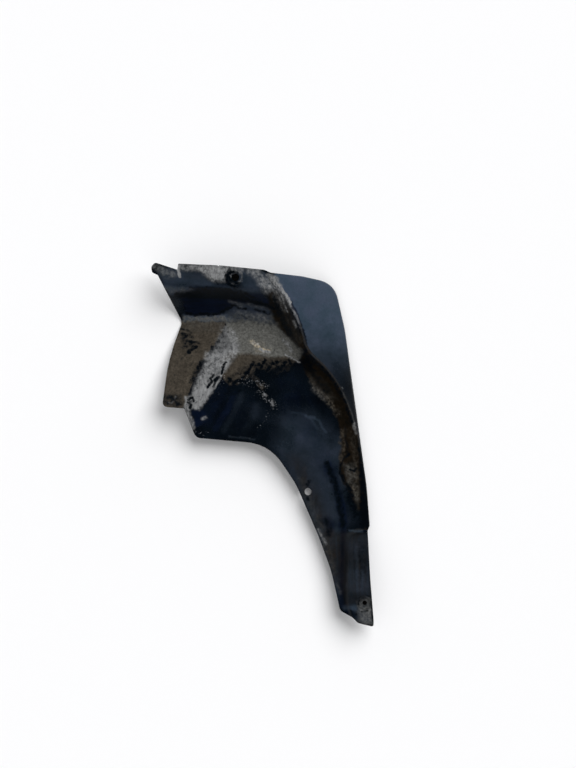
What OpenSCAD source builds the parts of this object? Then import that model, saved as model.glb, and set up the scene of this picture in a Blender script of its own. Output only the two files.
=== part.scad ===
// Rear mudguard for a passenger car: one injection-moulded shell.
// It is drawn lying down, wheel side up: a flange runs along the top edge, a flap falls
// away to the right, a dished pan fills the middle, and a narrow tail runs up the arch.

/* [Overall size] */
// Width from the ear to the outer corner of the tail
width = 272; // [240:1:310]
// Length of the body, from the flange edge down to the lower edge of the pan
body_l = 222; // [190:1:260]
// Length of the tail, from the lower edge of the pan to its end
tail_l = 223; // [170:1:270]
// Wall thickness of the moulding
wall = 2.5; // [1.8:0.1:3.6]

/* [Heights of the top surface] */
// Fold line, where the shell rests
fold_h = 3; // [2:0.5:6]
// Flange along the top edge
flange_h = 45; // [36:1:56]
// Crest where the wall turns from the flange down to the flap
crest_h = 35; // [26:1:42]
// Free edge of the flap
flap_h = 3.5; // [3:0.5:9]
// Outer corner of the left panel
corner_h = 38; // [28:1:46]
// Lower edge of the pan
pan_h = 26; // [18:1:34]
// Screw pad at the end of the tail
tail_h = 31; // [24:1:40]

/* [Folds and edges] */
// Radius of the rounding along the crest
crest_r = 4; // [3:0.5:7]
// Radius of the rounding along the fold line
fold_r = 5; // [3:0.5:8]
// Height of the rim that stands over the flap at the end of the crest
rim_h = 4.5; // [2:0.5:6]
// Width of that rim
rim_w = 4; // [3:0.5:6]
// Bulge of the flap over a straight line
flap_bulge = 5; // [1:0.5:8]

/* [Holes] */
// Clip hole in the flange
clip_d = 9; // [6:0.5:12]
// Round seat of the clip
clip_seat_d = 24; // [21:0.5:26]
// Recess inside that seat
clip_recess_d = 18; // [14:0.5:20]
// Screw hole at the end of the tail
screw_d = 5.5; // [4:0.5:8]
// Round seat of the screw
screw_seat_d = 16; // [14:0.5:17]
// Recess inside that seat
screw_recess_d = 12; // [10:0.5:13]
// Hole near the inner edge of the tail
edge_hole_d = 9; // [6:0.5:11]
// Dimple in the ear
ear_dimple_d = 4; // [2:0.5:6]
// How far a seat stands proud of the wall
seat_t = 0.8; // [0.4:0.1:1.2]

/* [Hidden] */

// The curves below are drawn for these sizes and stretched to the ones above
drawn_w = 272;
drawn_body = 222;
drawn_tail = 223;
through = 200;
steps_arc = 6;

function sx(x) = x * width / drawn_w;
function sy(y) = y * (y > 0 ? body_l / drawn_body : tail_l / drawn_tail);
function mix(a, b, t) = a + (b - a) * t;
function bezier(a, b, c, t) = mix(mix(a, b, t), mix(b, c, t), t);
// Height of the left panel at a share of its way from the fold to its corner
function panel_h(t) = mix(fold_h, corner_h, t);

// Cross-sections from the left end to the tail end. Each one has:
// its rounding along the shell, bulge and rim of the outer strip, run and rise of the wall's toe,
// and the outer edge, the crest, the foot of the wall, the floor and the inner edge.
sections = [
    // Left end, past the ear and the left panel
    [0, 0, 0, 0.3, 0.15,
        [[-145, 224, flange_h + 1], [-139, 194, flange_h], [-117, 151, fold_h],
         [-129, 101, panel_h(0.43)], [-139, 38, panel_h(1)]]],
    // Left side of the sloping facet
    [0.25, 0, 0, 0.3, 0.15,
        [[-50, 228, flange_h], [-50, 194, flange_h - 1], [-50, 149, fold_h],
         [-70, 104, panel_h(0.42)], [-101, 36, panel_h(1.05)]]],
    // Right side of the sloping facet
    [0.35, 0, 0, 0.3, 0.15,
        [[-28, 228, flange_h], [-28, 194, flange_h - 1], [-31, 147, fold_h + 1],
         [-43, 95, fold_h + 11], [-91, 2, pan_h]]],
    // End of the flange, where the wall turns down to the flap
    [0.7, 1, 0.5, 0.35, 0.2,
        [[10, 222, flange_h - 2], [22, 192, flange_h - 1], [16, 137, fold_h + 4],
         [4, 99, fold_h + 10], [-33, -6, pan_h]]],
    // Upper corner of the flap
    [1, flap_bulge, 0.6 * rim_h, 0.4, 0.3,
        [[86, 220, flap_h], [42, 157, crest_h + 4], [29, 117, fold_h + 9],
         [24, 92, fold_h + 11], [-8, -9, pan_h]]],
    // Kink, where the upper wall runs out
    [0.6, flap_bulge, rim_h, 0.8, 0.75,
        [[112, 151, flap_h - 2.3], [52, 116, crest_h], [45, 103, fold_h + 11],
         [41, 83, fold_h + 11], [6, -17, pan_h - 1]]],
    // Lower wall, upper third
    [1, 0.6 * flap_bulge, 0.5, 0.5, 0.45,
        [[117, 98, flap_h - 3], [83, 88, crest_h - 7], [67, 74, fold_h + 6],
         [57, 58, fold_h + 7], [24, -34, pan_h - 2]]],
    // Lower wall, middle
    [1, 1, 0.4, 0.5, 0.45,
        [[123, 49, flap_h - 4], [107, 45, crest_h - 16], [91, 42, fold_h + 2],
         [73, 24, fold_h + 3], [37, -60, pan_h - 3]]],
    // Lower wall, lower third
    [1, 0, 0.2, 0.5, 0.4,
        [[133, -19, flap_h], [122, -23, flap_h + 8], [104, -13, fold_h + 1],
         [83, -29, fold_h + 0.5], [51, -88, pan_h - 4]]],
    // Last of the lower wall, above the step
    [0.3, 0, 0.2, 0.5, 0.5,
        [[139, -103, flap_h + 8], [129, -103, flap_h + 8], [117, -100, fold_h + 4],
         [97, -95, fold_h + 3], [64, -119, pan_h - 4]]],
    // Start of the tail flange, below the step
    [0.3, 0, 0.2, 0.5, 0.5,
        [[139, -113, flap_h + 9], [107, -111, flap_h + 9], [101, -110, fold_h + 5],
         [96, -109, fold_h + 4], [68, -130, pan_h - 3]]],
    // Start of the flat screw pad
    [0.6, 0, 0.2, 0.5, 0.5,
        [[142, -174, tail_h - 1], [105, -174, tail_h - 2], [99, -174, tail_h - 9],
         [94, -174, tail_h - 10], [83, -182, tail_h - 3]]],
    // Start of the end facet, where the valley widens
    [0.4, 0, 0.2, 0.5, 0.5,
        [[143, -198, tail_h], [107, -198, tail_h - 1], [101, -198, tail_h - 7],
         [95, -198, tail_h - 7], [87, -200, tail_h]]],
    // End of the tail
    [0, 0, 0.2, 0.5, 0.5,
        [[146, -230, tail_h], [118, -230, tail_h - 0.5], [112, -228, tail_h - 5],
         [102, -222, tail_h - 5], [92, -212, tail_h]]],
];
// Facets along the shell between one cross-section and the next
section_steps = [10, 3, 5, 9, 9, 8, 8, 8, 10, 4, 8, 4, 5];

// Outline in plan, as corners with the radius that rounds each one
outline = [
    [-136, 218, 4.5], [-131.5, 223.5, 4.5], [-104, 214.5, 1], [-103, 222, 1.5], [-55, 220, 0.5],
    [-54, 218.5, 0.5], [-53, 220, 0.5], [2, 214.5, 8], [10, 211, 4], [48, 207, 90],
    [88, 198.5, 42], [101, 142, 160], [112, 63, 300], [128, -52, 300], [131.5, -99, 3],
    [129, -105, 3], [132, -164, 200], [136, -214, 40], [136, -222.5, 3], [117, -218, 8],
    [110, -211, 6], [95, -203, 9], [84, -154, 150], [69, -113, 150], [41, -48, 120],
    [8, 1, 62], [-82, 9, 10], [-96, 45, 2], [-123, 47, 7], [-115, 106, 300],
    [-99, 151, 12], [-128, 208, 3], [-135, 211, 4],
];

// Centres of the holes in plan
clip_at = [sx(-33), sy(205)];
screw_at = [sx(125), sy(-193)];
edge_hole_at = [sx(56), sy(-57)];
dimple_at = [sx(-129), sy(215.5)];

function place(p) = [sx(p[0]), sy(p[1]), p[2]];

// The eight corners of one cross-section, from its row in the list
function corners(s) =
    let (p = [for (q = s[5]) place(q)],
         out = p[1] - p[0],
         rim = p[1] - out * min(0.4, rim_w / norm(out)) - [0, 0, s[2]],
         crown = mix(p[0], rim, 0.5) + [0, 0, s[1]],
         toe = [mix(p[2][0], p[1][0], s[3]), mix(p[2][1], p[1][1], s[3]), mix(p[2][2], p[1][2], s[4])])
    [p[0], crown, rim, p[1], toe, p[2], p[3], p[4]];

all_corners = [for (s = sections) corners(s)];

// A cross-section at the share t of the way from row i to row i + 1, rounded near both rows
function between(i, t) =
    let (a = sections[i][0] / 2, b = sections[i + 1][0] / 2, p = all_corners[i], q = all_corners[i + 1])
    t < a ? bezier(mix(p, all_corners[i - 1], a), p, mix(p, q, a), (t + a) / (2 * a))
    : t > 1 - b ? bezier(mix(q, p, b), q, mix(q, all_corners[i + 2], b), (t - 1 + b) / (2 * b))
    : mix(p, q, t);

// The cross-section as a line with its corners rounded
function arc(a, b, c, r, n) =
    let (cut_a = min(0.45, r / norm(a - b)), cut_c = min(0.45, r / norm(c - b)))
    [for (k = [0:n]) bezier(mix(b, a, cut_a), b, mix(b, c, cut_c), k / n)];
function profile(p) = concat(
    [p[0]],
    arc(p[0], p[1], p[2], 30, 2),
    arc(p[1], p[2], p[3], rim_w / 3, 1),
    arc(p[2], p[3], p[4], crest_r, 3),
    arc(p[3], p[4], p[5], 2 * fold_r, 2),
    arc(p[4], p[5], p[6], fold_r, 3),
    arc(p[5], p[6], p[7], 3 * fold_r, 2),
    [mix(p[6], p[7], 0.65), p[7]]);

rows = concat(
    [for (i = [0:len(section_steps) - 1], k = [0:section_steps[i] - 1])
        profile(between(i, k / section_steps[i]))],
    [profile(all_corners[len(all_corners) - 1])]);
last_row = len(rows) - 1;
last_col = len(rows[0]) - 1;

// The underside lies one wall below, square to the surface
function clamp_to(i, n) = max(0, min(n, i));
function square_to(i, j) =
    let (u = rows[clamp_to(i + 1, last_row)][j] - rows[clamp_to(i - 1, last_row)][j],
         v = rows[i][clamp_to(j + 1, last_col)] - rows[i][clamp_to(j - 1, last_col)],
         n = cross(v, u))
    n / norm(n);
under = [for (i = [0:last_row]) [for (j = [0:last_col]) rows[i][j] - wall * square_to(i, j)]];

module shell() {
    cols = last_col + 1;
    count = (last_row + 1) * cols;
    function at(i, j) = i * cols + j;
    points = concat([for (r = rows) each r], [for (r = under) each r]);
    faces = concat(
        [for (i = [0:last_row - 1], j = [0:last_col - 1])
            each [[at(i, j), at(i + 1, j), at(i + 1, j + 1)], [at(i, j), at(i + 1, j + 1), at(i, j + 1)]]],
        [for (i = [0:last_row - 1], j = [0:last_col - 1])
            each [[count + at(i, j), count + at(i + 1, j + 1), count + at(i + 1, j)],
                  [count + at(i, j), count + at(i, j + 1), count + at(i + 1, j + 1)]]],
        [for (i = [0:last_row - 1], j = [0, last_col])
            let (a = j == 0 ? at(i + 1, j) : at(i, j), b = j == 0 ? at(i, j) : at(i + 1, j))
            each [[a, b, count + b], [a, count + b, count + a]]],
        [for (j = [0:last_col - 1], i = [0, last_row])
            let (a = i == 0 ? at(i, j) : at(i, j + 1), b = i == 0 ? at(i, j + 1) : at(i, j))
            each [[a, b, count + b], [a, count + b, count + a]]]);
    polyhedron(points, faces, convexity = 12);
}

// Corner points with rounded corners, as one outline
function rounded(list) =
    let (n = len(list), p = [for (c = list) [sx(c[0]), sy(c[1])]])
    [for (i = [0:n - 1])
        let (a = p[(i + n - 1) % n], b = p[i], c = p[(i + 1) % n],
             ua = (a - b) / norm(a - b), uc = (c - b) / norm(c - b),
             half = acos(max(-1, min(1, ua * uc))) / 2,
             cut = min(list[i][2] / tan(half), 0.48 * norm(a - b), 0.48 * norm(c - b)),
             bow = max(1, ceil(steps_arc * (90 - half) / 45)))
        each [for (k = [0:bow]) bezier(b + ua * cut, b, b + uc * cut, k / bow)]];
edge = rounded(outline);

// The shell stands on the lowest point that its underside has within the outline
function crosses(p, a, b) =
    (a[1] > p[1]) != (b[1] > p[1]) && p[0] < a[0] + (b[0] - a[0]) * (p[1] - a[1]) / (b[1] - a[1]);
function inside(p) =
    len([for (i = [0:len(edge) - 1]) if (crosses(p, edge[i], edge[(i + 1) % len(edge)])) i]) % 2 == 1;
ground = min([for (r = under, p = r) if (p[2] < fold_h && inside(p)) p[2]]);
edge_x = [for (p = edge) p[0]];
edge_y = [for (p = edge) p[1]];
middle = [(min(edge_x) + max(edge_x)) / 2, (min(edge_y) + max(edge_y)) / 2];

// The point of the top surface over a point in plan, and the direction square to it there
function flat(p) = [p[0], p[1]];
function spot(p) =
    let (best = min([for (r = rows, q = r) norm(flat(q) - p)]),
         found = [for (i = [0:last_row], j = [0:last_col]) if (norm(flat(rows[i][j]) - p) == best) [i, j]][0],
         q = rows[found[0]][found[1]],
         n = square_to(found[0], found[1]))
    [[p[0], p[1], q[2] - (flat(n) * (p - flat(q))) / n[2]], n];

module trimmed_shell() {
    intersection() {
        shell();
        translate([0, 0, -through / 2]) linear_extrude(through) polygon(edge);
    }
}

// A round seat, level with the floor, proud of both faces of the wall
module seat(at, d) {
    translate([0, 0, -wall - seat_t]) translate(spot(at)[0]) cylinder(d = d, h = wall + 2 * seat_t, $fn = 64);
}

// What a seat loses: the recess round the hole, and the hole
module seat_hole(at, recess, d) {
    translate(spot(at)[0]) {
        cylinder(d = recess, h = 2 * wall, $fn = 64);
        cylinder(d = d, h = 8 * wall, center = true, $fn = 48);
    }
}

module mudguard() {
    edge_hole = spot(edge_hole_at);
    dimple = spot(dimple_at);
    color("#25292d")
        translate([-middle[0], -middle[1], -ground])
            difference() {
                union() {
                    trimmed_shell();
                    seat(clip_at, clip_seat_d);
                    seat(screw_at, screw_seat_d);
                }
                seat_hole(clip_at, clip_recess_d, clip_d);
                seat_hole(screw_at, screw_recess_d, screw_d);
                translate(edge_hole[0])
                    rotate([0, acos(edge_hole[1][2]), atan2(edge_hole[1][1], edge_hole[1][0])])
                        cylinder(d = edge_hole_d, h = 6 * wall, center = true, $fn = 48);
                translate(dimple[0] + dimple[1] * ear_dimple_d / 5) sphere(d = ear_dimple_d, $fn = 32);
            }
}

mudguard();
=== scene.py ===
import math
from collections import namedtuple

import bpy
import numpy as np
from bpy.props import FloatProperty, FloatVectorProperty, PointerProperty
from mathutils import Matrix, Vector, noise
from mathutils.bvhtree import BVHTree
from mathutils.geometry import delaunay_2d_cdt

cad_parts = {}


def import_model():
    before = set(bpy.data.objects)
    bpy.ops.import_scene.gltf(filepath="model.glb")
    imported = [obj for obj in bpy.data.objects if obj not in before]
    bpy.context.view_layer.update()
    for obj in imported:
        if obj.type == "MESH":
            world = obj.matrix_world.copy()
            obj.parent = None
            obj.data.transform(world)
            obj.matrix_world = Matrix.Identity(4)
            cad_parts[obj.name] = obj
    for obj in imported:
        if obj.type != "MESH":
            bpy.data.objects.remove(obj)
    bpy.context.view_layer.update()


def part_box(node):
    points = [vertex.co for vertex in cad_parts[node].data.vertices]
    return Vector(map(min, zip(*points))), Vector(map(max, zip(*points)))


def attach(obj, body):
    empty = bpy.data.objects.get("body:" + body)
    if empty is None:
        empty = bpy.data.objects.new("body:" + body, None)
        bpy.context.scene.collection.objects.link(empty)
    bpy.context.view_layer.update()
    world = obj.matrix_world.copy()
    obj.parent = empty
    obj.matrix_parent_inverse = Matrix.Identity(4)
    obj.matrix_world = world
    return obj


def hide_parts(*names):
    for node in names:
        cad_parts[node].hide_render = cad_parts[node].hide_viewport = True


bl_info = {
    "name": "Rear mudguard",
    "version": (1, 0, 0),
    "blender": (4, 5, 0),
    "location": "3D View > Sidebar > Mudguard",
    "description": "Builds a used moulded mudguard shell and the studio floor that it lies on",
    "category": "Object",
}

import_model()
NODE = "mudguard"
MM = 0.001

# The photograph's frame in pixels, and what one of them spans on the object in millimetres
FRAME_W, FRAME_H = 576, 768
PIXEL = 1.23
# Centre of the object in that frame
OBJECT_AT = (262.8, 444.5)
# Height of the camera over the floor and longer side of its sensor, in millimetres
CAMERA_HEIGHT = 6000
SENSOR = 36
# Half of the floor's width, and how far the camera sees, in metres
FLOOR_HALF = 60
FAR = 1000
# Each lamp's azimuth, elevation and spread in degrees, and its strength
LAMPS = {"key": (37, 50, 50, 2.85), "fill": (215, 55, 90, 1.05)}
# Strength of the studio's air at the horizon and overhead, and the height of a unit vector from
# which it is as dark as overhead
AIR_LOW, AIR_HIGH, AIR_TOP = 1.3, 0.03, 0.75
# The air is bright on one side, as by a wide window: its share on the other side, and how far a
# unit vector points towards the window where the light starts and where it is full
WINDOW_DIM, WINDOW_FROM, WINDOW_TO = 0.06, -0.1, 0.8
# Sockets of a Mix node that mixes colours
MIX_A, MIX_B, MIX_COLOUR = 6, 7, 2
# Direction of the scuffs on the sloping facet, in degrees
FACET_TURN = -36
# Most of the noise lies in this range, which is stretched to 0 to 1
NOISE_LOW, NOISE_HIGH = 0.28, 0.72

# Spacing in millimetres of the points along edges and round holes, of those on the side that
# isn't seen, and of the rows of the surface that heights are taken from
EDGE_STEP = 1.3
RING_STEP = EDGE_STEP / 1.5
BACK_STEP = 2.4
LOFT_STEP = 0.9
# Least number of points round a hole
RING_LEAST = 24
# Rows of points that follow the outline, as shares of the radius that rounds its edge
EDGE_ROWS = (0.13, 0.5, 1, 1.8)
# Rings of points outside a hole's edge, and on both sides of the edge of a recess or seat
HOLE_ROWS = (0.15, 0.5)
STEP_ROWS = (-0.3, 0, 0.3)
# How far such an edge's step reaches outside a seat or inside a recess, its whole width, and how
# far outside a seat its level still holds
STEP_REACH, STEP_WIDTH, SEAT_MARGIN = 0.3, 0.35, 1
# Points closer than this are one, in millimetres
MERGE = 1e-4
# Distance from the edge over which the back comes to lie square below the worn side
BACK_FADE = 8


# A mark of wear or dirt on the shell. Its strength runs from 0 to 1. Half its width, its soft edge
# and its points are in pixels of the photograph's frame. An area has no width of its own.
Mark = namedtuple("Mark", "strength reach feather points")


def area(strength, feather, *points):
    """A mark that fills the outline through its points."""
    return Mark(strength, None, feather, points)


def line(strength, reach, feather, *points):
    """A mark that follows its points."""
    return Mark(strength, reach, feather, points)


# Plastic that sun and dirt have turned blue-grey
BLOOM = {
    "flange": area(
        0.45, 10, (160, 266), (186, 270), (206, 274), (216, 284), (232, 288), (222, 291),
        (190, 287), (166, 286), (158, 276)),
    "flange beyond the clip": area(
        0.42, 10, (238, 268), (266, 270), (278, 288), (266, 294), (244, 291), (238, 282)),
    "wall beyond the dark band": area(0.4, 8, (226, 287), (256, 288), (268, 300), (240, 297)),
    "end of the dark band": area(
        0.45, 8, (230, 301), (262, 305), (274, 312), (278, 324), (246, 324), (224, 316)),
    "pan towards the tail": area(
        0.33, 26, (287, 408), (318, 410), (332, 425), (342, 445), (340, 470), (345, 500),
        (345, 545), (318, 545), (280, 462), (270, 446), (278, 428)),
    "foot of the last wall": area(
        0.2, 10, (338, 432), (350, 440), (352, 470), (345, 500), (338, 480), (334, 450)),
    "tail flange": area(
        0.3, 7, (346, 533), (368, 533), (372, 590), (372, 622), (356, 620), (346, 600)),
    "tail flange, middle": area(0.2, 8, (346, 566), (366, 570), (366, 592), (346, 594)),
    "tail beside the valley": area(
        0.26, 7, (318, 528), (338, 528), (340, 560), (340, 606), (335, 600), (327, 560)),
    "end facet": line(0.45, 1.2, 4, (345, 606), (354, 607)),
    "upper edge of the wall": area(
        0.05, 6, (166, 285), (230, 287), (262, 292), (262, 300), (230, 297), (176, 296)),
    "tide line": line(
        0.26, 0.4, 1.8, (306, 415), (313, 417), (319, 420), (322, 426), (326, 431.5)),
    "tide line, second": line(0.16, 0.3, 1.8, (292, 412), (304, 414), (311, 419), (317, 428)),
    "smears in the pan": line(0.09, 2, 10, (238, 400), (262, 416), (296, 424), (330, 460)),
    # Painted highlight along the moulded ridge at the step
    "highlight on the ridge at the step": line(0.5, 0.4, 1.8, (350, 530.2), (363, 531)),
    "lower edge of the pan": line(0.25, 0.3, 1.8, (229, 436), (240, 437), (254, 438.5)),
    "streak down the pan": line(0.16, 1, 5, (242, 394), (234, 412), (224, 430)),
    "streak down the pan, second": line(0.14, 1, 6, (258, 404), (252, 420), (244, 432)),
    "crease": area(1, 6, (184, 314.5), (226, 314), (236, 321), (183, 321)),
    "foot of the last wall, lower": area(0.13, 9, (346, 500), (362, 500), (362, 528), (346, 527)),
    "between the streaks": line(0.22, 0.4, 2.4, (196, 290), (220, 291.5), (240, 294), (256, 301)),
    "left end of the wall": area(0.8, 6, (164, 286), (195, 288), (192, 294), (170, 294)),
    "streak down the tail flange": line(0.16, 0.2, 1.6, (356, 546), (357, 566), (357.5, 590)),
    "left end of the dark band": area(0.25, 6, (168, 294), (182, 296), (186, 313), (178, 313)),
}
# Painted shade where the wall's dark band, the crest's side, the valley and the end facet turn from
# the light, and painted blue sky sheen over the dark pan
SHADE_AND_SHEEN = {
    # Painted shade on the wall's dark band, which faces away from the light
    "wall below the dark band": area(
        1, 8, (184, 301), (206, 299), (224, 301), (238, 305), (222, 311), (200, 316), (186, 314)),
    "dark band on the wall": area(
        0.85, 7, (172, 292), (196, 287), (228, 289), (262, 294), (276, 306), (240, 302),
        (184, 300)),
    # Painted blue sky sheen over the dark pan
    "pan under the facet": area(
        0.15, 16, (194, 408), (212, 398), (226, 384), (238, 390), (236, 418), (214, 434),
        (196, 424)),
    "corner under the facet": line(0.8, 2, 5, (196, 411), (202, 416), (197, 422)),
    "middle of the pan": line(0.2, 3, 7, (250, 400), (243, 412), (240, 428)),
    "pan below the corner": area(
        0.25, 14, (270, 370), (296, 368), (312, 392), (322, 412), (300, 404), (278, 392)),
    "pan towards the tail": line(0.3, 5, 9, (286, 402), (308, 430), (322, 456), (330, 470)),
    # Painted shade on the side of the crest that faces away from the light
    "painted shade beside the crest": line(0.8, 0.8, 2, (291, 303), (298, 318), (303, 334), (306, 350)),
    # Painted shade in the valley and the recessed end facet
    "valley": line(0.6, 0.6, 8, (329, 467), (335.5, 484), (341, 502), (343.5, 522)),
    "valley, widest": line(0.2, 2, 8, (340, 502), (344, 520), (346, 526)),
    "smudge by the valley": line(0.6, 1.5, 8, (327, 520), (331, 524), (329, 531)),
    "end facet": area(0.5, 5, (344, 609), (356, 608), (357, 617), (350, 616)),
    "valley, foot": line(0.55, 0.6, 5, (342.5, 522), (342.5, 545), (341.5, 575), (341.5, 604)),
    # Painted blue sky sheen over the dark pan
    "pan beside the facet": line(0.4, 3, 9, (222, 388), (212, 404), (206, 418)),
    "streak down the pan": line(0.5, 1, 5, (236, 392), (228, 408), (216, 428)),
}
# Brown road film
FILM = {
    "upper wall by the crest": area(
        0.85, 7, (268, 290), (282, 297), (291, 315), (298, 330), (305, 347), (300, 352),
        (288, 338), (277, 328), (270, 312)),
    "lower wall": area(
        1, 6, (300, 355), (310, 352), (330, 371), (344, 390), (353, 408), (358, 428), (361, 440),
        (367, 490), (366, 508), (358, 510), (353, 499), (348, 489), (342, 480), (339, 466),
        (342, 440), (338, 420), (330, 404), (318, 390), (306, 374)),
    "tail by its inner rim": area(
        0.4, 16, (284, 452), (300, 456), (318, 490), (330, 522), (338, 560), (330, 560),
        (312, 520)),
    "tail": area(0.42, 10, (320, 530), (368, 530), (372, 600), (345, 606), (330, 570)),
    "outer strip of the last wall": line(0.5, 1.2, 4, (364, 496), (366.5, 524)),
    "flange": area(0.3, 8, (182, 272), (214, 275), (222, 282), (184, 280)),
    "pan towards the tail": area(
        0.14, 20, (286, 440), (330, 446), (340, 500), (340, 540), (318, 530), (292, 470)),
}
# Dried mud
SOIL = {
    "left panel": area(
        1, 5, (178, 321), (226, 321), (222, 333), (211, 348), (203, 362), (195, 378), (188, 394),
        (184, 410), (155, 412), (160, 390), (172, 350)),
    "below the dusty floor": area(
        1, 6, (222, 356), (238, 348), (262, 350), (284, 354), (297, 359), (290, 366), (272, 367),
        (256, 370), (247, 377), (240, 382), (229, 385), (221, 374)),
    "olive patch": area(0.6, 7, (237, 340), (252, 338), (256, 350), (238, 352)),
    "crease by the corner": area(
        0.3, 8, (230, 316), (252, 313), (274, 315), (282, 327), (258, 326), (228, 322)),
    "upper wall by the crest": line(0.35, 3, 8, (274, 294), (280, 308), (290, 330), (297, 342)),
    "lower wall": line(0.22, 2, 10, (320, 372), (333, 389), (342, 405), (347, 424)),
    "foot of the lower wall": line(0.4, 1.2, 6, (309, 375), (319, 391), (328, 401), (337, 413)),
    "last of the lower wall": area(
        0.3, 9, (341, 462), (356, 460), (360, 480), (360, 498), (353, 500), (345, 482)),
    "streak beside it": line(0.42, 1.5, 5, (342, 432), (343, 446), (341, 458)),
    "outer streak": line(0.3, 1, 5, (352, 438), (357, 464), (360, 490)),
    "left rim of the tail": line(0.3, 1, 5, (321, 538), (328, 556), (334, 580)),
    "lower wall, further": line(0.25, 1.5, 8, (350, 432), (355, 452)),
    "clumps below the fringe": line(0.45, 1.5, 4, (248, 372), (256, 378), (262, 387)),
    "clumps below the fringe, right": line(0.4, 1.2, 4, (268, 369), (278, 371), (290, 366)),
}
# Grey road dust
DUST = {
    "floor of the pan": area(
        1, 7, (226, 322), (252, 322), (275, 326), (288, 337), (300, 348), (303, 352), (298, 360),
        (284, 356), (268, 357), (250, 353), (238, 354), (230, 340)),
    "wall by the corner": area(
        0.4, 9, (228, 312), (270, 313), (282, 327), (252, 326), (230, 321)),
    "ear": area(0.25, 6, (153, 266), (160, 264), (177, 270), (178, 278), (168, 282), (160, 276)),
    "left panel, by the crease": area(0.25, 9, (180, 320), (226, 320), (222, 332), (180, 334)),
    "lower wall, inner edge": line(0.2, 1.2, 5, (311, 380), (320, 394), (328, 402), (335, 410)),
    "last of the lower wall": area(0.4, 8, (343, 464), (355, 462), (358, 478), (348, 482)),
    "end of the blotch": line(0.25, 1.5, 5, (350, 484), (356, 488), (357, 496)),
    "screw pad": area(0.4, 8, (357, 600), (371, 594), (374, 625), (358, 621), (356, 610)),
    "tail by its inner rim": line(0.12, 2, 6, (300, 480), (312, 510), (322, 535), (333, 570)),
    "tail": area(
        0.1, 22, (286, 450), (312, 440), (326, 480), (338, 530), (338, 590), (326, 560),
        (304, 500)),
    "crease": area(0.6, 6, (183, 315.5), (226, 315), (232, 321), (183, 321)),
    "lower wall, upper part": area(
        0.2, 7, (310, 366), (326, 380), (340, 400), (331, 401), (318, 388)),
    "lower edge of the pan": line(0.15, 0.3, 1.8, (229, 436), (240, 437), (254, 438.5)),
    "left end of the wall": area(0.3, 6, (164, 286), (195, 288), (192, 294), (170, 294)),
    "wall beyond the dark band": area(0.12, 8, (238, 290), (262, 293), (268, 303), (248, 300)),
    "blotch, lower end": line(0.22, 0.8, 4, (354, 492), (357, 500), (358, 508)),
}
# Pale sand, thin and in patches
SAND = {
    # Warm spots: pale sand and scuffs, their shine painted in as a highlight, with a painted glow
    # round them
    "warm spots": area(0.17, 6, (248, 340), (262, 342), (272, 349), (270, 354), (256, 353)),
    "painted glow round the warm spots": area(
        0.1, 12, (240, 336), (262, 334), (282, 344), (280, 354), (250, 356)),
    "edge of the lower wall": line(0.2, 1, 4, (314, 388), (321, 393), (327, 398), (334, 409)),
    "streak on the lower wall": line(0.14, 0.8, 3.5, (341, 432), (344, 441), (343, 452)),
    "end of the blotch": line(0.2, 1, 3.5, (350, 486), (355, 489), (357, 495)),
    "worn rim of the tail": line(0.12, 0.6, 2.5, (318, 530), (322, 537), (325, 542)),
    "warm spots, brightest": line(
        0.6, 0.5, 2.2, (252, 341), (257, 345), (262, 349), (268, 350.5)),
}
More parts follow.
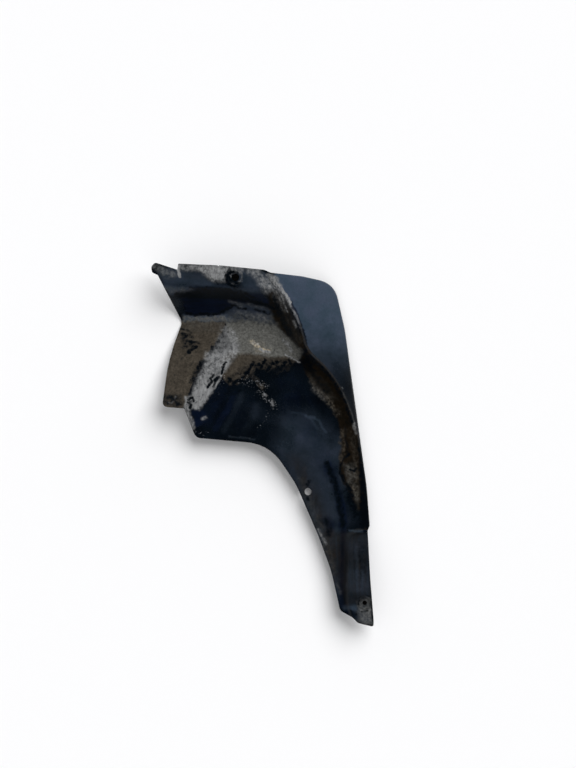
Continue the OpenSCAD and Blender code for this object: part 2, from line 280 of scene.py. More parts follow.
# Plastic scratched and scuffed pale
CHALK = {
    "facet, top": area(
        0.5, 12, (222, 326), (230, 325), (238, 340), (237, 352), (224, 364), (211, 358),
        (217, 342)),
    "facet, right border": line(0.45, 1.6, 6, (232, 335), (236, 347), (231, 357), (222, 368)),
    "facet, middle": area(
        0.66, 9, (206, 352), (226, 350), (229, 362), (221, 374), (213, 388), (204, 398),
        (192, 396), (197, 380), (203, 366)),
    "facet, foot": area(
        0.92, 5, (196, 388), (204, 380), (214, 382), (212, 392), (206, 402), (199, 409),
        (192, 408), (192, 398)),
    "facet, last streak": line(0.6, 1.4, 3, (188, 398), (187, 408), (190, 418), (193, 427)),
    "line down its right border": line(0.7, 0.3, 1.2, (227, 363), (222, 374), (215, 388)),
    "white patch on the flange": area(
        0.9, 10, (199, 268), (218, 266), (228, 272), (225, 281), (214, 281), (206, 275)),
    "top of the flange": line(0.5, 1, 6, (181, 267.5), (200, 268), (218, 268.5), (240, 270)),
    "band beyond the clip": line(0.5, 1.3, 8, (252, 270), (260, 277), (266, 288)),
    "broad end of the crest": line(0.5, 1.2, 4, (270, 275), (277, 282), (280, 289)),
    "ear": line(0.3, 1.5, 4, (156, 267), (166, 272), (175, 275)),
    "left end of the wall": area(0.2, 8, (166, 288), (196, 289), (194, 294), (172, 294)),
    "crease": area(0.2, 8, (183, 315.5), (226, 315), (232, 321), (183, 321)),
    "light streaks on the wall": line(0.25, 0.6, 3.5, (230, 301), (237, 304), (243, 306)),
    "light streaks on the wall, lower": line(0.25, 0.8, 4, (236, 311), (250, 314), (266, 318)),
    "curled end of the flange": line(0.95, 0.7, 1.2, (179, 266), (179, 271), (180.5, 277)),
    # Scuffs along the crest, with a painted highlight where its edge catches the light
    "worn crest": line(
        0.5, 0.3, 1.6, (272, 279), (281, 288), (287, 297), (291, 306), (296, 316), (301, 328)),
    "worn crest, brightest": line(0.85, 0.4, 1.5, (281, 287), (285, 293), (290, 303)),
    "flecks below the crest": line(0.4, 0.5, 2, (294, 321), (296, 327)),
    "scratches on the upper wall": line(0.34, 1.2, 4, (270, 276), (278, 288), (283, 300)),
    # Warm spots: scuffs whose shine is painted in as a pale highlight
    "warm spots": line(0.5, 0.8, 2, (253, 342), (259, 345)),
    "warm spots, larger": line(0.9, 0.5, 1.8, (260, 348.5), (264, 350.5), (269, 351.5)),
    "dabs by the corner": line(0.6, 0.8, 2.4, (284, 340), (289, 345), (292, 351)),
    # Painted highlight along the edge of the shelf
    "painted highlight on the edge of the shelf": line(0.95, 0.2, 1, (285, 354.5), (291, 357.5), (300, 362)),
    # Scuffs along the crest of the lower wall, with a painted highlight on its edge
    "crest of the lower wall": line(
        0.32, 0.2, 1.2, (343, 393), (348, 404), (352, 415), (354, 423)),
    "end of that crest": line(0.35, 0.5, 2.4, (353.5, 424), (356, 432)),
    "blot in the pan": line(0.5, 0.8, 2, (203, 418), (206, 417.5)),
    "squiggle on the left panel": line(
        0.8, 0.3, 1, (169, 401.5), (172, 402.5), (175, 399.5), (176, 396)),
    "scratch on the flap": line(0.35, 0.3, 1, (341.5, 387), (343, 388.5)),
    "rim of the tail, lower": line(0.16, 0.5, 3, (337, 583), (340, 592)),
    "screw pad": area(0.3, 6, (358, 606), (371, 606), (373, 623), (360, 621)),
    "light streaks on the wall, right": line(0.2, 0.8, 5, (249, 303), (257, 306), (268, 308)),
    "upper wall by the crest": line(0.24, 2.5, 7, (268, 283), (276, 292), (284, 306)),
    "strands by the clip": line(0.4, 0.3, 1.3, (240.5, 271), (242.5, 275), (242, 281)),
    "lower wall, inner edge": line(0.2, 1, 5, (314, 389), (320, 393), (326, 397)),
    "strand in the clip seat": line(
        0.9, 0.3, 1, (236, 271), (233, 272.5), (230.5, 275), (231, 278)),
    "strand in the clip seat, lower": line(
        0.8, 0.3, 1, (231, 281.5), (234, 284.5), (238, 284), (240.5, 281)),
    "lower part of the upper wall": line(0.1, 1.5, 6, (284, 308), (290, 322), (297, 338)),
    "scratch along the crest": line(
        0.55, 0.2, 1.2, (266, 275), (276, 287), (283, 300), (287, 312)),
    "scratch along the crest, second": line(0.5, 0.2, 1.2, (272, 277), (280, 288), (286, 300)),
    "scratch along the crest, third": line(0.35, 0.2, 1.2, (264, 279), (272, 289), (278, 303)),
    "worn rim of the tail": line(0.42, 0.5, 1.8, (318.5, 529), (322, 536), (326, 543)),
    "facet, upper right corner": line(0.6, 0.6, 2.5, (234, 342), (236, 349), (234, 354)),
    "dab in the pan": line(0.5, 0.5, 1.8, (263.5, 394), (266, 395.5)),
    "dab in the pan, lower": line(0.45, 0.5, 1.8, (272.5, 400), (273.5, 404.5)),
}
# Crumbs of dried mud
CRUMBS = {
    "flange": area(0.6, 6, (180, 264), (224, 266), (224, 276), (206, 272), (182, 270)),
    "left end of the wall": area(0.5, 5, (174, 294), (184, 296), (186, 314), (180, 312)),
    "upper wall by the crest": area(
        0.8, 6, (266, 276), (281, 288), (288, 303), (290, 314), (282, 314), (272, 302),
        (264, 290)),
    "end of the upper wall": area(0.4, 5, (288, 322), (300, 332), (303, 346), (292, 340)),
    "beside the facet": line(0.8, 1.5, 4, (226, 376), (219, 392)),
    "top of the dark pan": line(0.6, 1.5, 5, (248, 382), (258, 382), (266, 385)),
    "middle of the pan": line(1, 1.8, 3.5, (261, 391), (264, 395), (266, 397)),
    "middle of the pan, wider": line(0.6, 7, 9, (246, 382), (266, 392), (276, 406)),
    "trail below them": line(0.8, 0.8, 3, (268, 412), (266, 420), (258, 428)),
    "left panel, lower end": area(0.5, 6, (163, 390), (184, 392), (184, 408), (162, 408)),
    "corner of the pan": line(0.85, 1.2, 4, (194, 430), (202, 433), (208, 432)),
    "speckle towards the tail": area(
        0.4, 6, (310, 430), (330, 427), (338, 434), (334, 442), (314, 440)),
    "foot of the lower wall": line(0.6, 1.4, 4, (305, 372), (313, 384), (326, 398), (337, 413)),
    "lower wall": area(0.4, 6, (318, 376), (342, 404), (350, 424), (344, 432), (326, 396)),
    "last of the lower wall": area(0.6, 5, (342, 462), (358, 462), (361, 500), (350, 492)),
    "worn rim of the tail": line(0.7, 1, 3, (318, 529), (323, 538), (328, 548)),
    "rim of the tail, lower": line(0.5, 1, 4, (328, 551), (336, 574), (341, 590)),
    "tail flange": area(0.35, 6, (354, 536), (367, 536), (370, 588), (356, 590)),
    "screw pad": area(0.6, 5, (356, 590), (371, 590), (374, 622), (357, 618)),
    "clumps below the fringe": line(0.5, 2, 6, (240, 377), (254, 380), (262, 386)),
    "middle of the pan, lower": line(1, 2, 3.5, (269, 400), (272, 402), (275, 406)),
}
# Places washed or scraped back to black, and painted shade where the walls, the crest's side, the
# valley, the rims and the seats round the holes turn from the light
STAINS_AND_SHADE = {
    # Painted shade on the wall's dark band, which faces away from the light
    "dark band on the wall": area(
        0.97, 6, (176, 294), (200, 289), (228, 289), (246, 293), (248, 299), (228, 299),
        (204, 298), (184, 299)),
    "line under the dark band": line(0.7, 0.6, 2, (176, 295), (204, 297), (232, 298), (262, 303)),
    "line under the dark band, end": line(0.8, 0.7, 1.6, (252, 301), (264, 304.5), (274, 309)),
    "lower edge of the smear": line(
        0.8, 0.7, 1.8, (187, 313), (195, 314.5), (204, 313.5), (212, 315), (222, 312),
        (232, 306)),
    "dashes on the wall": line(0.85, 0.4, 1.3, (234, 305), (240, 308), (246, 309)),
    "dashes on the wall, further": line(0.8, 0.6, 1.5, (255, 309.5), (262, 311), (269, 313.5)),
    "short dash": line(0.65, 0.4, 1.2, (242, 315), (247, 318)),
    # Painted shade in the corner where the upper wall meets the crest
    "corner of the wall": line(0.5, 1.5, 5, (274, 302), (281, 316), (290, 332)),
    "dark end of the flange": line(0.7, 0.8, 2, (264, 270.5), (273, 274)),
    "left end of the wall": line(0.3, 2, 5, (172, 297), (178, 305), (182, 314)),
    "scuff, first": line(0.55, 0.5, 1.6, (181, 329), (186, 330), (191, 332)),
    "scuff, second": line(0.62, 0.7, 1.8, (182, 334), (188, 334.5), (193, 337)),
    "scuff, third": line(0.6, 1.8, 5, (184, 337), (187, 341), (191, 344)),
    "scuff, fourth": line(0.5, 0.5, 1.6, (190, 341), (196, 341.5), (200, 343)),
    "scuff, fifth": line(0.5, 0.6, 2, (183, 347), (187, 347.5), (190, 352)),
    "scuff, sixth": line(0.8, 0.7, 1.6, (188.5, 352), (192, 349), (197, 346.5)),
    "scuff, seventh": line(0.5, 0.4, 1.3, (181, 360), (185, 355), (189, 353)),
    "scuff, eighth": line(0.35, 0.4, 1.3, (190, 366), (195, 360)),
    "smear beside the facet": line(0.7, 1, 3.5, (203, 361), (199, 367), (195, 374), (192, 381)),
    "lower end of the left panel": area(0.65, 8, (161, 392), (182, 394), (184, 407), (161, 406)),
    "chips on the facet": line(1, 0.6, 1.3, (214, 375), (211, 378), (212, 381), (208, 387)),
    "chips on the facet, side": line(0.9, 0.5, 1, (214.5, 380), (217, 377)),
    "chips by its right border": line(0.95, 0.6, 1.4, (226, 362), (223, 367), (222, 373)),
    "chips by its right border, lower": line(0.8, 0.5, 1.4, (219, 376), (216, 381), (213, 386)),
    "chips on the facet, small": line(0.5, 0.4, 1.2, (204, 370), (205, 374)),
    "grain at the facet's top": area(
        0.3, 8, (222, 330), (230, 328), (236, 342), (230, 352), (216, 352), (219, 340)),
    "chips on the facet, left": line(0.85, 0.5, 1.4, (189, 399), (193, 397), (194, 401)),
    "chips on the facet, left, lower": line(0.85, 0.5, 1.4, (188.5, 402), (192, 404), (190, 408)),
    "fringe of the mud": area(
        0.5, 12, (218, 382), (238, 368), (252, 358), (272, 356), (296, 357), (292, 376),
        (264, 384), (246, 394), (224, 396)),
    "branch in the mud": line(0.9, 0.5, 1.5, (240, 381), (245, 374), (249, 371), (253, 362)),
    "branch in the mud, low": line(0.9, 0.5, 1.5, (229, 378), (233, 383), (239, 379), (245, 382)),
    "branch in the mud, second": line(0.9, 0.5, 1.5, (256, 374), (262, 366), (265, 360)),
    "branch in the mud, third": line(0.9, 0.5, 1.5, (266, 373), (271, 364), (277, 362)),
    "branch in the mud, last": line(0.6, 1, 3, (274, 370), (284, 365), (296, 364)),
    "below the kink": area(0.6, 9, (299, 352), (308, 352), (315, 362), (310, 370), (303, 362)),
    "shaded side of the crest": line(0.6, 0.8, 2.5, (300, 325), (304, 337), (306, 350)),
    "dabs on the upper wall": line(0.6, 1, 3, (274, 296), (278, 306), (283, 318)),
    "dabs on the upper wall, lower": line(0.5, 1, 3.5, (284, 322), (290, 334), (298, 346)),
    # Painted shade on the lower wall, which faces away from the light
    "outer edge of the lower wall": line(
        0.7, 1, 4, (311, 356), (330, 375), (344, 396), (352, 420)),
    "dark strip of the lower wall": area(
        1, 6, (358, 436), (362, 440), (369, 500), (369.5, 528), (361, 528), (360, 500),
        (359, 470)),
    "curved line on the lower wall": line(
        0.85, 0.4, 1.3, (349, 453), (343, 460), (340.5, 465), (340, 473)),
    "streak on the lower wall": line(0.5, 0.6, 2, (345, 428), (347, 444), (347, 456)),
    "dots on the blotch": line(0.8, 0.5, 1.8, (350, 469), (354, 471), (356, 468)),
    # Painted shadow under the tail's turned-down outer rim
    "outer rim of the tail": line(0.8, 0.6, 1.5, (369.3, 534), (371, 580), (373, 620)),
    # Painted shade at the flap's lower end
    "dark end of the flap": line(0.6, 1.5, 3, (368, 505), (369, 526)),
    # Painted shade in the recessed end facet
    "end facet": line(0.6, 1, 3, (351, 611), (355, 613)),
    # Painted shade round the screw's seat
    "arc round the screw": line(
        0.7, 0.3, 1.2, (358.5, 603), (359, 598), (361.5, 595), (366, 594), (370, 596)),
    "mark under the screw": line(0.6, 0.4, 1.4, (361.5, 610), (367, 609)),
    # Painted shade on the inner side of the clip's seat
    "side of the clip seat": line(0.8, 1.2, 2, (228.5, 281), (227.5, 276), (230, 271)),
    "torn part of the clip seat": line(0.8, 1, 2, (230, 284), (235, 286), (240, 283)),
    "streak on the tail flange": area(0.4, 9, (357, 540), (368, 540), (369, 576), (361, 576)),
    "inner edge of the lower wall": line(0.5, 2, 6, (306, 364), (318, 380), (326, 390)),
    # Painted shade at the foot of the last wall
    "foot of the last wall": area(0.3, 9, (348, 500), (362, 500), (362, 528), (348, 527)),
    # Painted shade round the clip hole
    "round the clip hole": line(
        0.7, 0.5, 2, (238, 274), (235, 272), (231, 273.5), (230, 278), (232, 282), (237, 283)),
    "end of the dark band": area(0.35, 6, (240, 294), (262, 299), (272, 306), (240, 301)),
    # Painted shade in the valley
    "valley": line(0.75, 1, 5, (326.5, 463), (334.5, 482), (340, 503), (343, 524)),
    "valley, foot": line(0.4, 0.3, 3, (342.5, 524), (342.5, 548), (341, 570)),
    "streak on the wall, upper": line(
        0.55, 0.4, 2, (191, 287.5), (218, 289), (241, 291), (255, 298)),
    "streak on the wall, lower": line(
        0.5, 0.4, 2, (212, 292), (241, 297), (265, 305), (273, 308)),
    "scrape along the crest": line(0.6, 0.2, 1.4, (269, 279), (279, 292), (285, 309), (292, 325)),
    "scrape along the crest, second": line(0.5, 0.2, 1.4, (275, 283), (284, 296), (288, 308)),
    "streak down the tail flange": line(0.4, 0.2, 1.4, (353, 544), (354, 560), (354.5, 578)),
    "streak down the tail flange, second": line(
        0.35, 0.2, 1.4, (359, 548), (360.5, 570), (361, 586)),
    "branch in the mud, by the corner": line(0.9, 0.4, 1.3, (281, 369), (284, 363), (289, 360)),
    "branch in the mud, upright": line(0.85, 0.4, 1.3, (258, 374), (257, 368), (259, 363)),
    "edge of the blotch": line(0.7, 0.6, 2.4, (341, 473), (345, 481), (350, 488), (354, 497)),
    "speckle on the last wall": line(0.5, 1.5, 5, (346, 490), (350, 502), (357, 513)),
    "smudge by the valley": line(0.6, 1.5, 4.5, (325, 521), (330, 526), (329, 533)),
    "above the tail's clip hole": line(0.85, 0.5, 1.8, (309, 480.5), (307.5, 484.5)),
    "below the tail's clip hole": line(0.85, 0.5, 1.8, (307.5, 496.5), (308.5, 499.5)),
}
# The moulded ridge at the step. Its strength is its height in millimetres.
RIDGE = line(0.5, 0.3, 1, (350, 530.2), (363, 531))
# The marks of each layer, under the name that the material reads
LAYERS = {
    "bloom_and_sheen": BLOOM, "shade_and_sheen": SHADE_AND_SHEEN, "film": FILM, "soil": SOIL, "dust": DUST, "sand": SAND,
    "chalk": CHALK, "crumbs": CRUMBS, "stain_and_shade": STAINS_AND_SHADE}
# The side that faces the car only gathers a little of two of them
BACK_WEAR = {"bloom_and_sheen": 0.35, "dust": 0.18}
# Width given to each strip of the shell by the streaks that follow it, in millimetres
FLOW_WIDTH = 18
# The flap's painted sheen, a painted light, is full from this place in the plan upwards, and
# less and less over this distance below it, in millimetres
FLAP_SHEEN_FADE = (180, 130)
# How much painted shade darkens the rim over the flap, in place of the flap's painted sheen
RIM_SHADE = 0.8
# How much a crumb adds to the thickness of the dirt
CRUMB_BODY = 0.5
# What makes the borders of the wear ragged, and spreads the mud further: the swing of soft waves
# and the millimetres between them, and a seed for each direction
RAGGED = (1.3, 8, 21, 34)
RAGGED_FINE = (0.9, 2.6, 5, 13)
SPLASHED = (3.2, 5.5, 61, 72)
# The slight waves of a thin moulding, and the lumps of what has dried on it: the swing of each
# wave, the millimetres between them, and a seed
WAVES = ((0.22, 45, 3), (0.12, 19, 8))
LUMPS = ((1, 2.2, 55), (0.3, 6, 57))
# Height of a lump in three of the layers, and depth of a scrape, in millimetres
CAKED = {"soil": 0.35, "dust": 0.2, "chalk": 0.25}
SCRAPE = 0.1
# Swing of the lumps on the dark plug in a hole, and the millimetres between them
PLUG_SWING, PLUG_LUMP = 0.9, 1.6
# How far that plug reaches into the wall round it, how far its foot lies above the lowest point of
# the hole's rim, and how wide that rim is, in millimetres
PLUG_GRIP, PLUG_RISE, PLUG_RIM = 0.05, 0.3, 0.3


def linear(hex_colour):
    """An sRGB colour written as six hex digits, as linear red, green and blue."""
    channels = [int(hex_colour[i:i + 2], 16) / 255 for i in (0, 2, 4)]
    return tuple(c / 12.92 if c <= 0.04045 else ((c + 0.055) / 1.055) ** 2.4 for c in channels)


class MudguardSizes(bpy.types.PropertyGroup):
    """Sizes of the shell."""

    width: FloatProperty(
        name="Width", description="From the ear to the outer corner of the tail",
        default=0.272, unit="LENGTH")
    body_length: FloatProperty(
        name="Body length", description="From the flange edge down to the lower edge of the pan",
        default=0.222, unit="LENGTH")
    tail_length: FloatProperty(
        name="Tail length", description="From the lower edge of the pan to the end of the tail",
        default=0.223, unit="LENGTH")
    wall: FloatProperty(
        name="Wall", description="Wall thickness of the moulding", default=0.0025, unit="LENGTH")
    fold_height: FloatProperty(
        name="Fold height", description="Height of the fold line, where the shell rests",
        default=0.003, unit="LENGTH")
    flange_height: FloatProperty(
        name="Flange height", description="Height of the flange along the top edge",
        default=0.045, unit="LENGTH")
    crest_height: FloatProperty(
        name="Crest height", description="Height of the crest where the wall meets the flap",
        default=0.035, unit="LENGTH")
    flap_height: FloatProperty(
        name="Flap height", description="Height of the free edge of the flap",
        default=0.0035, unit="LENGTH")
    corner_height: FloatProperty(
        name="Corner height", description="Height of the outer corner of the left panel",
        default=0.038, unit="LENGTH")
    pan_height: FloatProperty(
        name="Pan height", description="Height of the lower edge of the pan",
        default=0.026, unit="LENGTH")
    tail_height: FloatProperty(
        name="Tail height", description="Height of the screw pad at the end of the tail",
        default=0.031, unit="LENGTH")
    crest_round: FloatProperty(
        name="Crest radius", description="Rounding along the crest", default=0.004, unit="LENGTH")
    fold_round: FloatProperty(
        name="Fold radius", description="Rounding along the fold line", default=0.005,
        unit="LENGTH")
    rim_height: FloatProperty(
        name="Rim height", description="Height of the rim that stands over the flap",
        default=0.0045, unit="LENGTH")
    rim_width: FloatProperty(
        name="Rim width", description="Width of that rim", default=0.004, unit="LENGTH")
    flap_bulge: FloatProperty(
        name="Flap bulge", description="Bulge of the flap over a straight line",
        default=0.005, unit="LENGTH")
    seat_rise: FloatProperty(
        name="Seat rise", description="How far a seat stands proud of the wall",
        default=0.0008, unit="LENGTH")
    edge_round: FloatProperty(
        name="Edge radius", description="Rounding of the moulding's free edges",
        default=0.0007, unit="LENGTH")
    flap_roll: FloatProperty(
        name="Flap edge radius", description="Rounding of the flap's free edge",
        default=0.0016, unit="LENGTH")
    mesh_step: FloatProperty(
        name="Mesh step", description="Spacing of the points on the worn side",
        default=0.00105, unit="LENGTH")


class MudguardColours(bpy.types.PropertyGroup):
    """Colours of the plastic, of what has dried on it, and of the floor."""

    # The black is painted a little blue, a painted reflection of the sky
    plastic: FloatVectorProperty(
        name="Plastic", description="Washed black plastic", subtype="COLOR",
        default=linear("050a10"))
    # On the flap this blue-grey and its violet are a painted sky sheen, elsewhere they are
    # weathered plastic
    bloom_and_sheen: FloatVectorProperty(
        name="Bloom", description="Weathered blue-grey plastic", subtype="COLOR",
        default=linear("2e3e4a"))
    violet: FloatVectorProperty(
        name="Violet bloom", description="Weathered plastic where it is a little violet",
        subtype="COLOR", default=linear("3a4252"))
    # Painted shade and painted blue sky sheen
    shade_and_sheen: FloatVectorProperty(
        name="Smears", description="Blue smears on wiped plastic", subtype="COLOR",
        default=linear("060e1e"))
    film: FloatVectorProperty(
        name="Road film", description="Thin brown road film", subtype="COLOR",
        default=linear("070806"))
    rust: FloatVectorProperty(
        name="Warm road film", description="Road film where it is thicker and browner",
        subtype="COLOR", default=linear("1d150c"))
    soil: FloatVectorProperty(
        name="Mud", description="Dried mud", subtype="COLOR", default=linear("3b362f"))
    dust: FloatVectorProperty(
        name="Dust", description="Road dust", subtype="COLOR", default=linear("565653"))
    sand: FloatVectorProperty(
        name="Sand", description="Pale sand caked on", subtype="COLOR",
        default=linear("9a8f7a"))
    chalk: FloatVectorProperty(
        name="Chalk", description="Plastic scuffed pale", subtype="COLOR",
        default=linear("777879"))
    crumbs: FloatVectorProperty(
        name="Crumbs", description="Crumbs of dried mud", subtype="COLOR",
        default=linear("6e7074"))
    # Also painted shade where walls, rims and seats turn from the light
    stain_and_shade: FloatVectorProperty(
        name="Stain", description="Plastic scraped back to black", subtype="COLOR",
        default=linear("03070c"))
    floor: FloatVectorProperty(
        name="Floor", description="Studio floor", subtype="COLOR", default=linear("f7f7f8"))


def mix(a, b, t):
    """The value at the share t of the way from a to b."""
    return a + (b - a) * t


def bezier(a, b, c, t):
    """The point at t on the curve from a to c that bends round b."""
    return mix(mix(a, b, t), mix(b, c, t), t)


def smooth(t):
    """Runs softly from 0 to 1 as t does."""
    t = np.clip(t, 0, 1)
    return t * t * (3 - 2 * t)


def past(value, start, ease):
    """Runs softly from 0 to 1 once a value is past its start."""
    return smooth((value - start) / ease)


def before(value, end, ease):
    """Runs softly from 1 to 0 as a value comes to its end."""
    return smooth((end - value) / ease)


class Shell:
    """The shape of the shell in millimetres, worked out from the sizes."""

    # Corners of a cross-section, from its outer edge to its inner edge
    OUTER, CROWN, RIM, CREST, TOE, FOOT, FLOOR, INNER = range(8)
    # Bounds of the flap, of the flap's rolled edge, of its rim and of the worn crest, each with the
    # distance over which it fades. Bounds across the shell are counted in corners, and those along
    # it in cross-sections.
    FLAP_TOP, FLAP_START, FLAP_END = (CREST - 0.12, 0.1), (2.9, 0.15), (9.6, 0.4)
    ROLL_TOP, ROLL_START = (CREST - 0.5, 0.3), (3.1, 0.4)
    RIM_FOOT = (RIM, 0.3)
    CREST_FOOT, CREST_TOP = (CREST - 0.45, 0.2), (CREST + 0.5, 0.3)
    CREST_START, CREST_END = (4.1, 0.5), (9.3, 0.3)
    # The cross-section where the tail starts, and the share by which the crest is rounder on it
    TAIL_START, TAIL_ROUNDER = 9, 1.5
    # Most of a side that the rim, a bend of a cross-section and a corner of the outline take up
    MOST_RIM, MOST_BEND, MOST_CORNER = 0.4, 0.45, 0.48
    # Radius of the flap's bulge, pieces of a bend and of the tighter one under the rim, and how far
    # the last row of points before the inner edge is on its way to it
    CROWN_ROUND, BEND_PIECES, RIM_PIECES, LAST_ROW = 30, 8, 4, 0.65
    # Pieces of a right-angled corner of the outline
    CORNER_PIECES = 6
    # The curves are drawn for these sizes and stretched to the chosen ones
    DRAWN_WIDTH, DRAWN_BODY, DRAWN_TAIL = 272, 222, 223
    # Outline in plan, as corners with the radius that rounds each one
    OUTLINE = (
        (-136, 218, 4.5), (-131.5, 223.5, 4.5), (-104, 214.5, 1), (-103, 222, 1.5),
        (-55, 220, 0.5), (-54, 218.5, 0.5), (-53, 220, 0.5), (2, 214.5, 8), (10, 211, 4),
        (48, 207, 90), (88, 198.5, 42), (101, 142, 160), (112, 63, 300), (128, -52, 300),
        (131.5, -99, 3), (129, -105, 3), (132, -164, 200), (136, -214, 40), (136, -222.5, 3),
        (117, -218, 8), (110, -211, 6), (95, -203, 9), (84, -154, 150), (69, -113, 150),
        (41, -48, 120), (8, 1, 62), (-82, 9, 10), (-96, 45, 2), (-123, 47, 7),
        (-115, 106, 300), (-99, 151, 12), (-128, 208, 3), (-135, 211, 4),
    )
    # Holes: centre in plan, and the diameters of the hole, its recess and its seat
    CLIP = ((-33, 205), 9, 18, 24)
    SCREW = ((125, -193), 5.5, 12, 16)
    EDGE_HOLE = ((56, -57), 9, 0, 0)

    def __init__(self, sizes):
        for name in type(sizes).__annotations__:
            setattr(self, name, getattr(sizes, name) / MM)
        sections = self.sections()
        self.rounding = [section[0] for section in sections]
        self.corners = [self.corners_of(section) for section in sections]

    def place(self, x, y):
        """Where a drawn plan point lies at the chosen sizes."""
        if y > 0:
            stretch = self.body_length / self.DRAWN_BODY
        else:
            stretch = self.tail_length / self.DRAWN_TAIL
        return x * self.width / self.DRAWN_WIDTH, y * stretch

    def panel(self, share):
        """Height of the left panel at a share of its way from the fold to its corner."""
        return mix(self.fold_height, self.corner_height, share)

    def sections(self):
        """Cross-sections from the left end to the tail end. Each has its rounding along the
        shell, the bulge and rim of its outer strip, the run and rise of its wall's toe, and
        its outer edge, crest, foot of the wall, floor and inner edge."""
        fold, flange, crest, flap = (
            self.fold_height, self.flange_height, self.crest_height, self.flap_height)
        pan, tail, bulge, rim = (
            self.pan_height, self.tail_height, self.flap_bulge, self.rim_height)
        return (
            # Left end, past the ear and the left panel
            (0, 0, 0, 0.3, 0.15, (
                (-145, 224, flange + 1), (-139, 194, flange), (-117, 151, fold),
                (-129, 101, self.panel(0.43)), (-139, 38, self.panel(1)))),
            # Left side of the sloping facet
            (0.25, 0, 0, 0.3, 0.15, (
                (-50, 228, flange), (-50, 194, flange - 1), (-50, 149, fold),
                (-70, 104, self.panel(0.42)), (-101, 36, self.panel(1.05)))),
            # Right side of the sloping facet
            (0.35, 0, 0, 0.3, 0.15, (
                (-28, 228, flange), (-28, 194, flange - 1), (-31, 147, fold + 1),
                (-43, 95, fold + 11), (-91, 2, pan))),
            # End of the flange, where the wall turns down to the flap
            (0.7, 1, 0.5, 0.35, 0.2, (
                (10, 222, flange - 2), (22, 192, flange - 1), (16, 137, fold + 4),
                (4, 99, fold + 10), (-33, -6, pan))),
            # Upper corner of the flap
            (1, bulge, 0.6 * rim, 0.4, 0.3, (
                (86, 220, flap), (42, 157, crest + 4), (29, 117, fold + 9),
                (24, 92, fold + 11), (-8, -9, pan))),
            # Kink, where the upper wall runs out
            (0.6, bulge, rim, 0.8, 0.75, (
                (112, 151, flap - 2.3), (52, 116, crest), (45, 103, fold + 11),
                (41, 83, fold + 11), (6, -17, pan - 1))),
            # Lower wall, upper third
            (1, 0.6 * bulge, 0.5, 0.5, 0.45, (
                (117, 98, flap - 3), (83, 88, crest - 7), (67, 74, fold + 6),
                (57, 58, fold + 7), (24, -34, pan - 2))),
            # Lower wall, middle
            (1, 1, 0.4, 0.5, 0.45, (
                (123, 49, flap - 4), (107, 45, crest - 16), (91, 42, fold + 2),
                (73, 24, fold + 3), (37, -60, pan - 3))),
            # Lower wall, lower third
            (1, 0, 0.2, 0.5, 0.4, (
                (133, -19, flap), (122, -23, flap + 8), (104, -13, fold + 1),
                (83, -29, fold + 0.5), (51, -88, pan - 4))),
            # Last of the lower wall, above the step
            (0.3, 0, 0.2, 0.5, 0.5, (
                (139, -103, flap + 8), (129, -103, flap + 8), (117, -100, fold + 4),
                (97, -95, fold + 3), (64, -119, pan - 4))),
            # Start of the tail flange, below the step
            (0.3, 0, 0.2, 0.5, 0.5, (
                (139, -113, flap + 9), (107, -111, flap + 9), (101, -110, fold + 5),
                (96, -109, fold + 4), (68, -130, pan - 3))),
            # Start of the flat screw pad
            (0.6, 0, 0.2, 0.5, 0.5, (
                (142, -174, tail - 1), (105, -174, tail - 2), (99, -174, tail - 9),
                (94, -174, tail - 10), (83, -182, tail - 3))),
            # Start of the end facet, where the valley widens
            (0.4, 0, 0.2, 0.5, 0.5, (
                (143, -198, tail), (107, -198, tail - 1), (101, -198, tail - 7),
                (95, -198, tail - 7), (87, -200, tail))),
            # End of the tail
            (0, 0, 0.2, 0.5, 0.5, (
                (146, -230, tail), (118, -230, tail - 0.5), (112, -228, tail - 5),
                (102, -222, tail - 5), (92, -212, tail))),
        )

    def corners_of(self, section):
        """The eight corners of a cross-section."""
        _, bulge, rim_height, run, rise, points = section
        outer, crest, foot, floor, inner = (
            np.array((*self.place(x, y), z)) for x, y, z in points)
        out = crest - outer
        share = min(self.MOST_RIM, self.rim_width / np.linalg.norm(out))
        rim = crest - out * share - (0, 0, rim_height)
        crown = mix(outer, rim, 0.5) + (0, 0, bulge)
        toe = mix(foot, crest, np.array((run, run, rise)))
        return np.array((outer, crown, rim, crest, toe, foot, floor, inner))

    def between(self, i, t):
        """The cross-section at the share t from section i to i + 1, rounded near both."""
        a, b = self.rounding[i] / 2, self.rounding[i + 1] / 2
        p, q = self.corners[i], self.corners[i + 1]
        if t < a:
            return bezier(mix(p, self.corners[i - 1], a), p, mix(p, q, a), (t + a) / (2 * a))
        if t > 1 - b:
            last = mix(q, self.corners[min(i + 2, len(self.corners) - 1)], b)
            return bezier(mix(q, p, b), q, last, (t - 1 + b) / (2 * b))
        return mix(p, q, t)

    def profile(self, corners, on_tail=0):
        """A cross-section with rounded corners: its points, and how far across each one is,
        counted in corners. The crest is rounder on the tail."""
        radii = {
            self.CROWN: self.CROWN_ROUND, self.RIM: self.rim_width / 3,
            self.CREST: self.crest_round * (1 + self.TAIL_ROUNDER * on_tail),
            self.TOE: 2 * self.fold_round, self.FOOT: self.fold_round,
            self.FLOOR: 3 * self.fold_round}
        points, across = [corners[:1]], [[self.OUTER]]
        for k, radius in radii.items():
            a, b, c = corners[k - 1:k + 2]
            cut_a, cut_c = (
                min(self.MOST_BEND, radius / np.linalg.norm(end - b)) for end in (a, c))
            pieces = self.RIM_PIECES if k == self.RIM else self.BEND_PIECES
            t = np.linspace(0, 1, pieces + 1)[:, None]
            points.append(bezier(mix(b, a, cut_a), b, mix(b, c, cut_c), t))
            across.append(k + mix(-cut_a, cut_c, t[:, 0]))
        inner = corners[self.INNER]
        points.append([mix(corners[self.FLOOR], inner, self.LAST_ROW), inner])
        across.append([mix(self.FLOOR, self.INNER, self.LAST_ROW), self.INNER])
        return np.concatenate(points), np.concatenate(across)

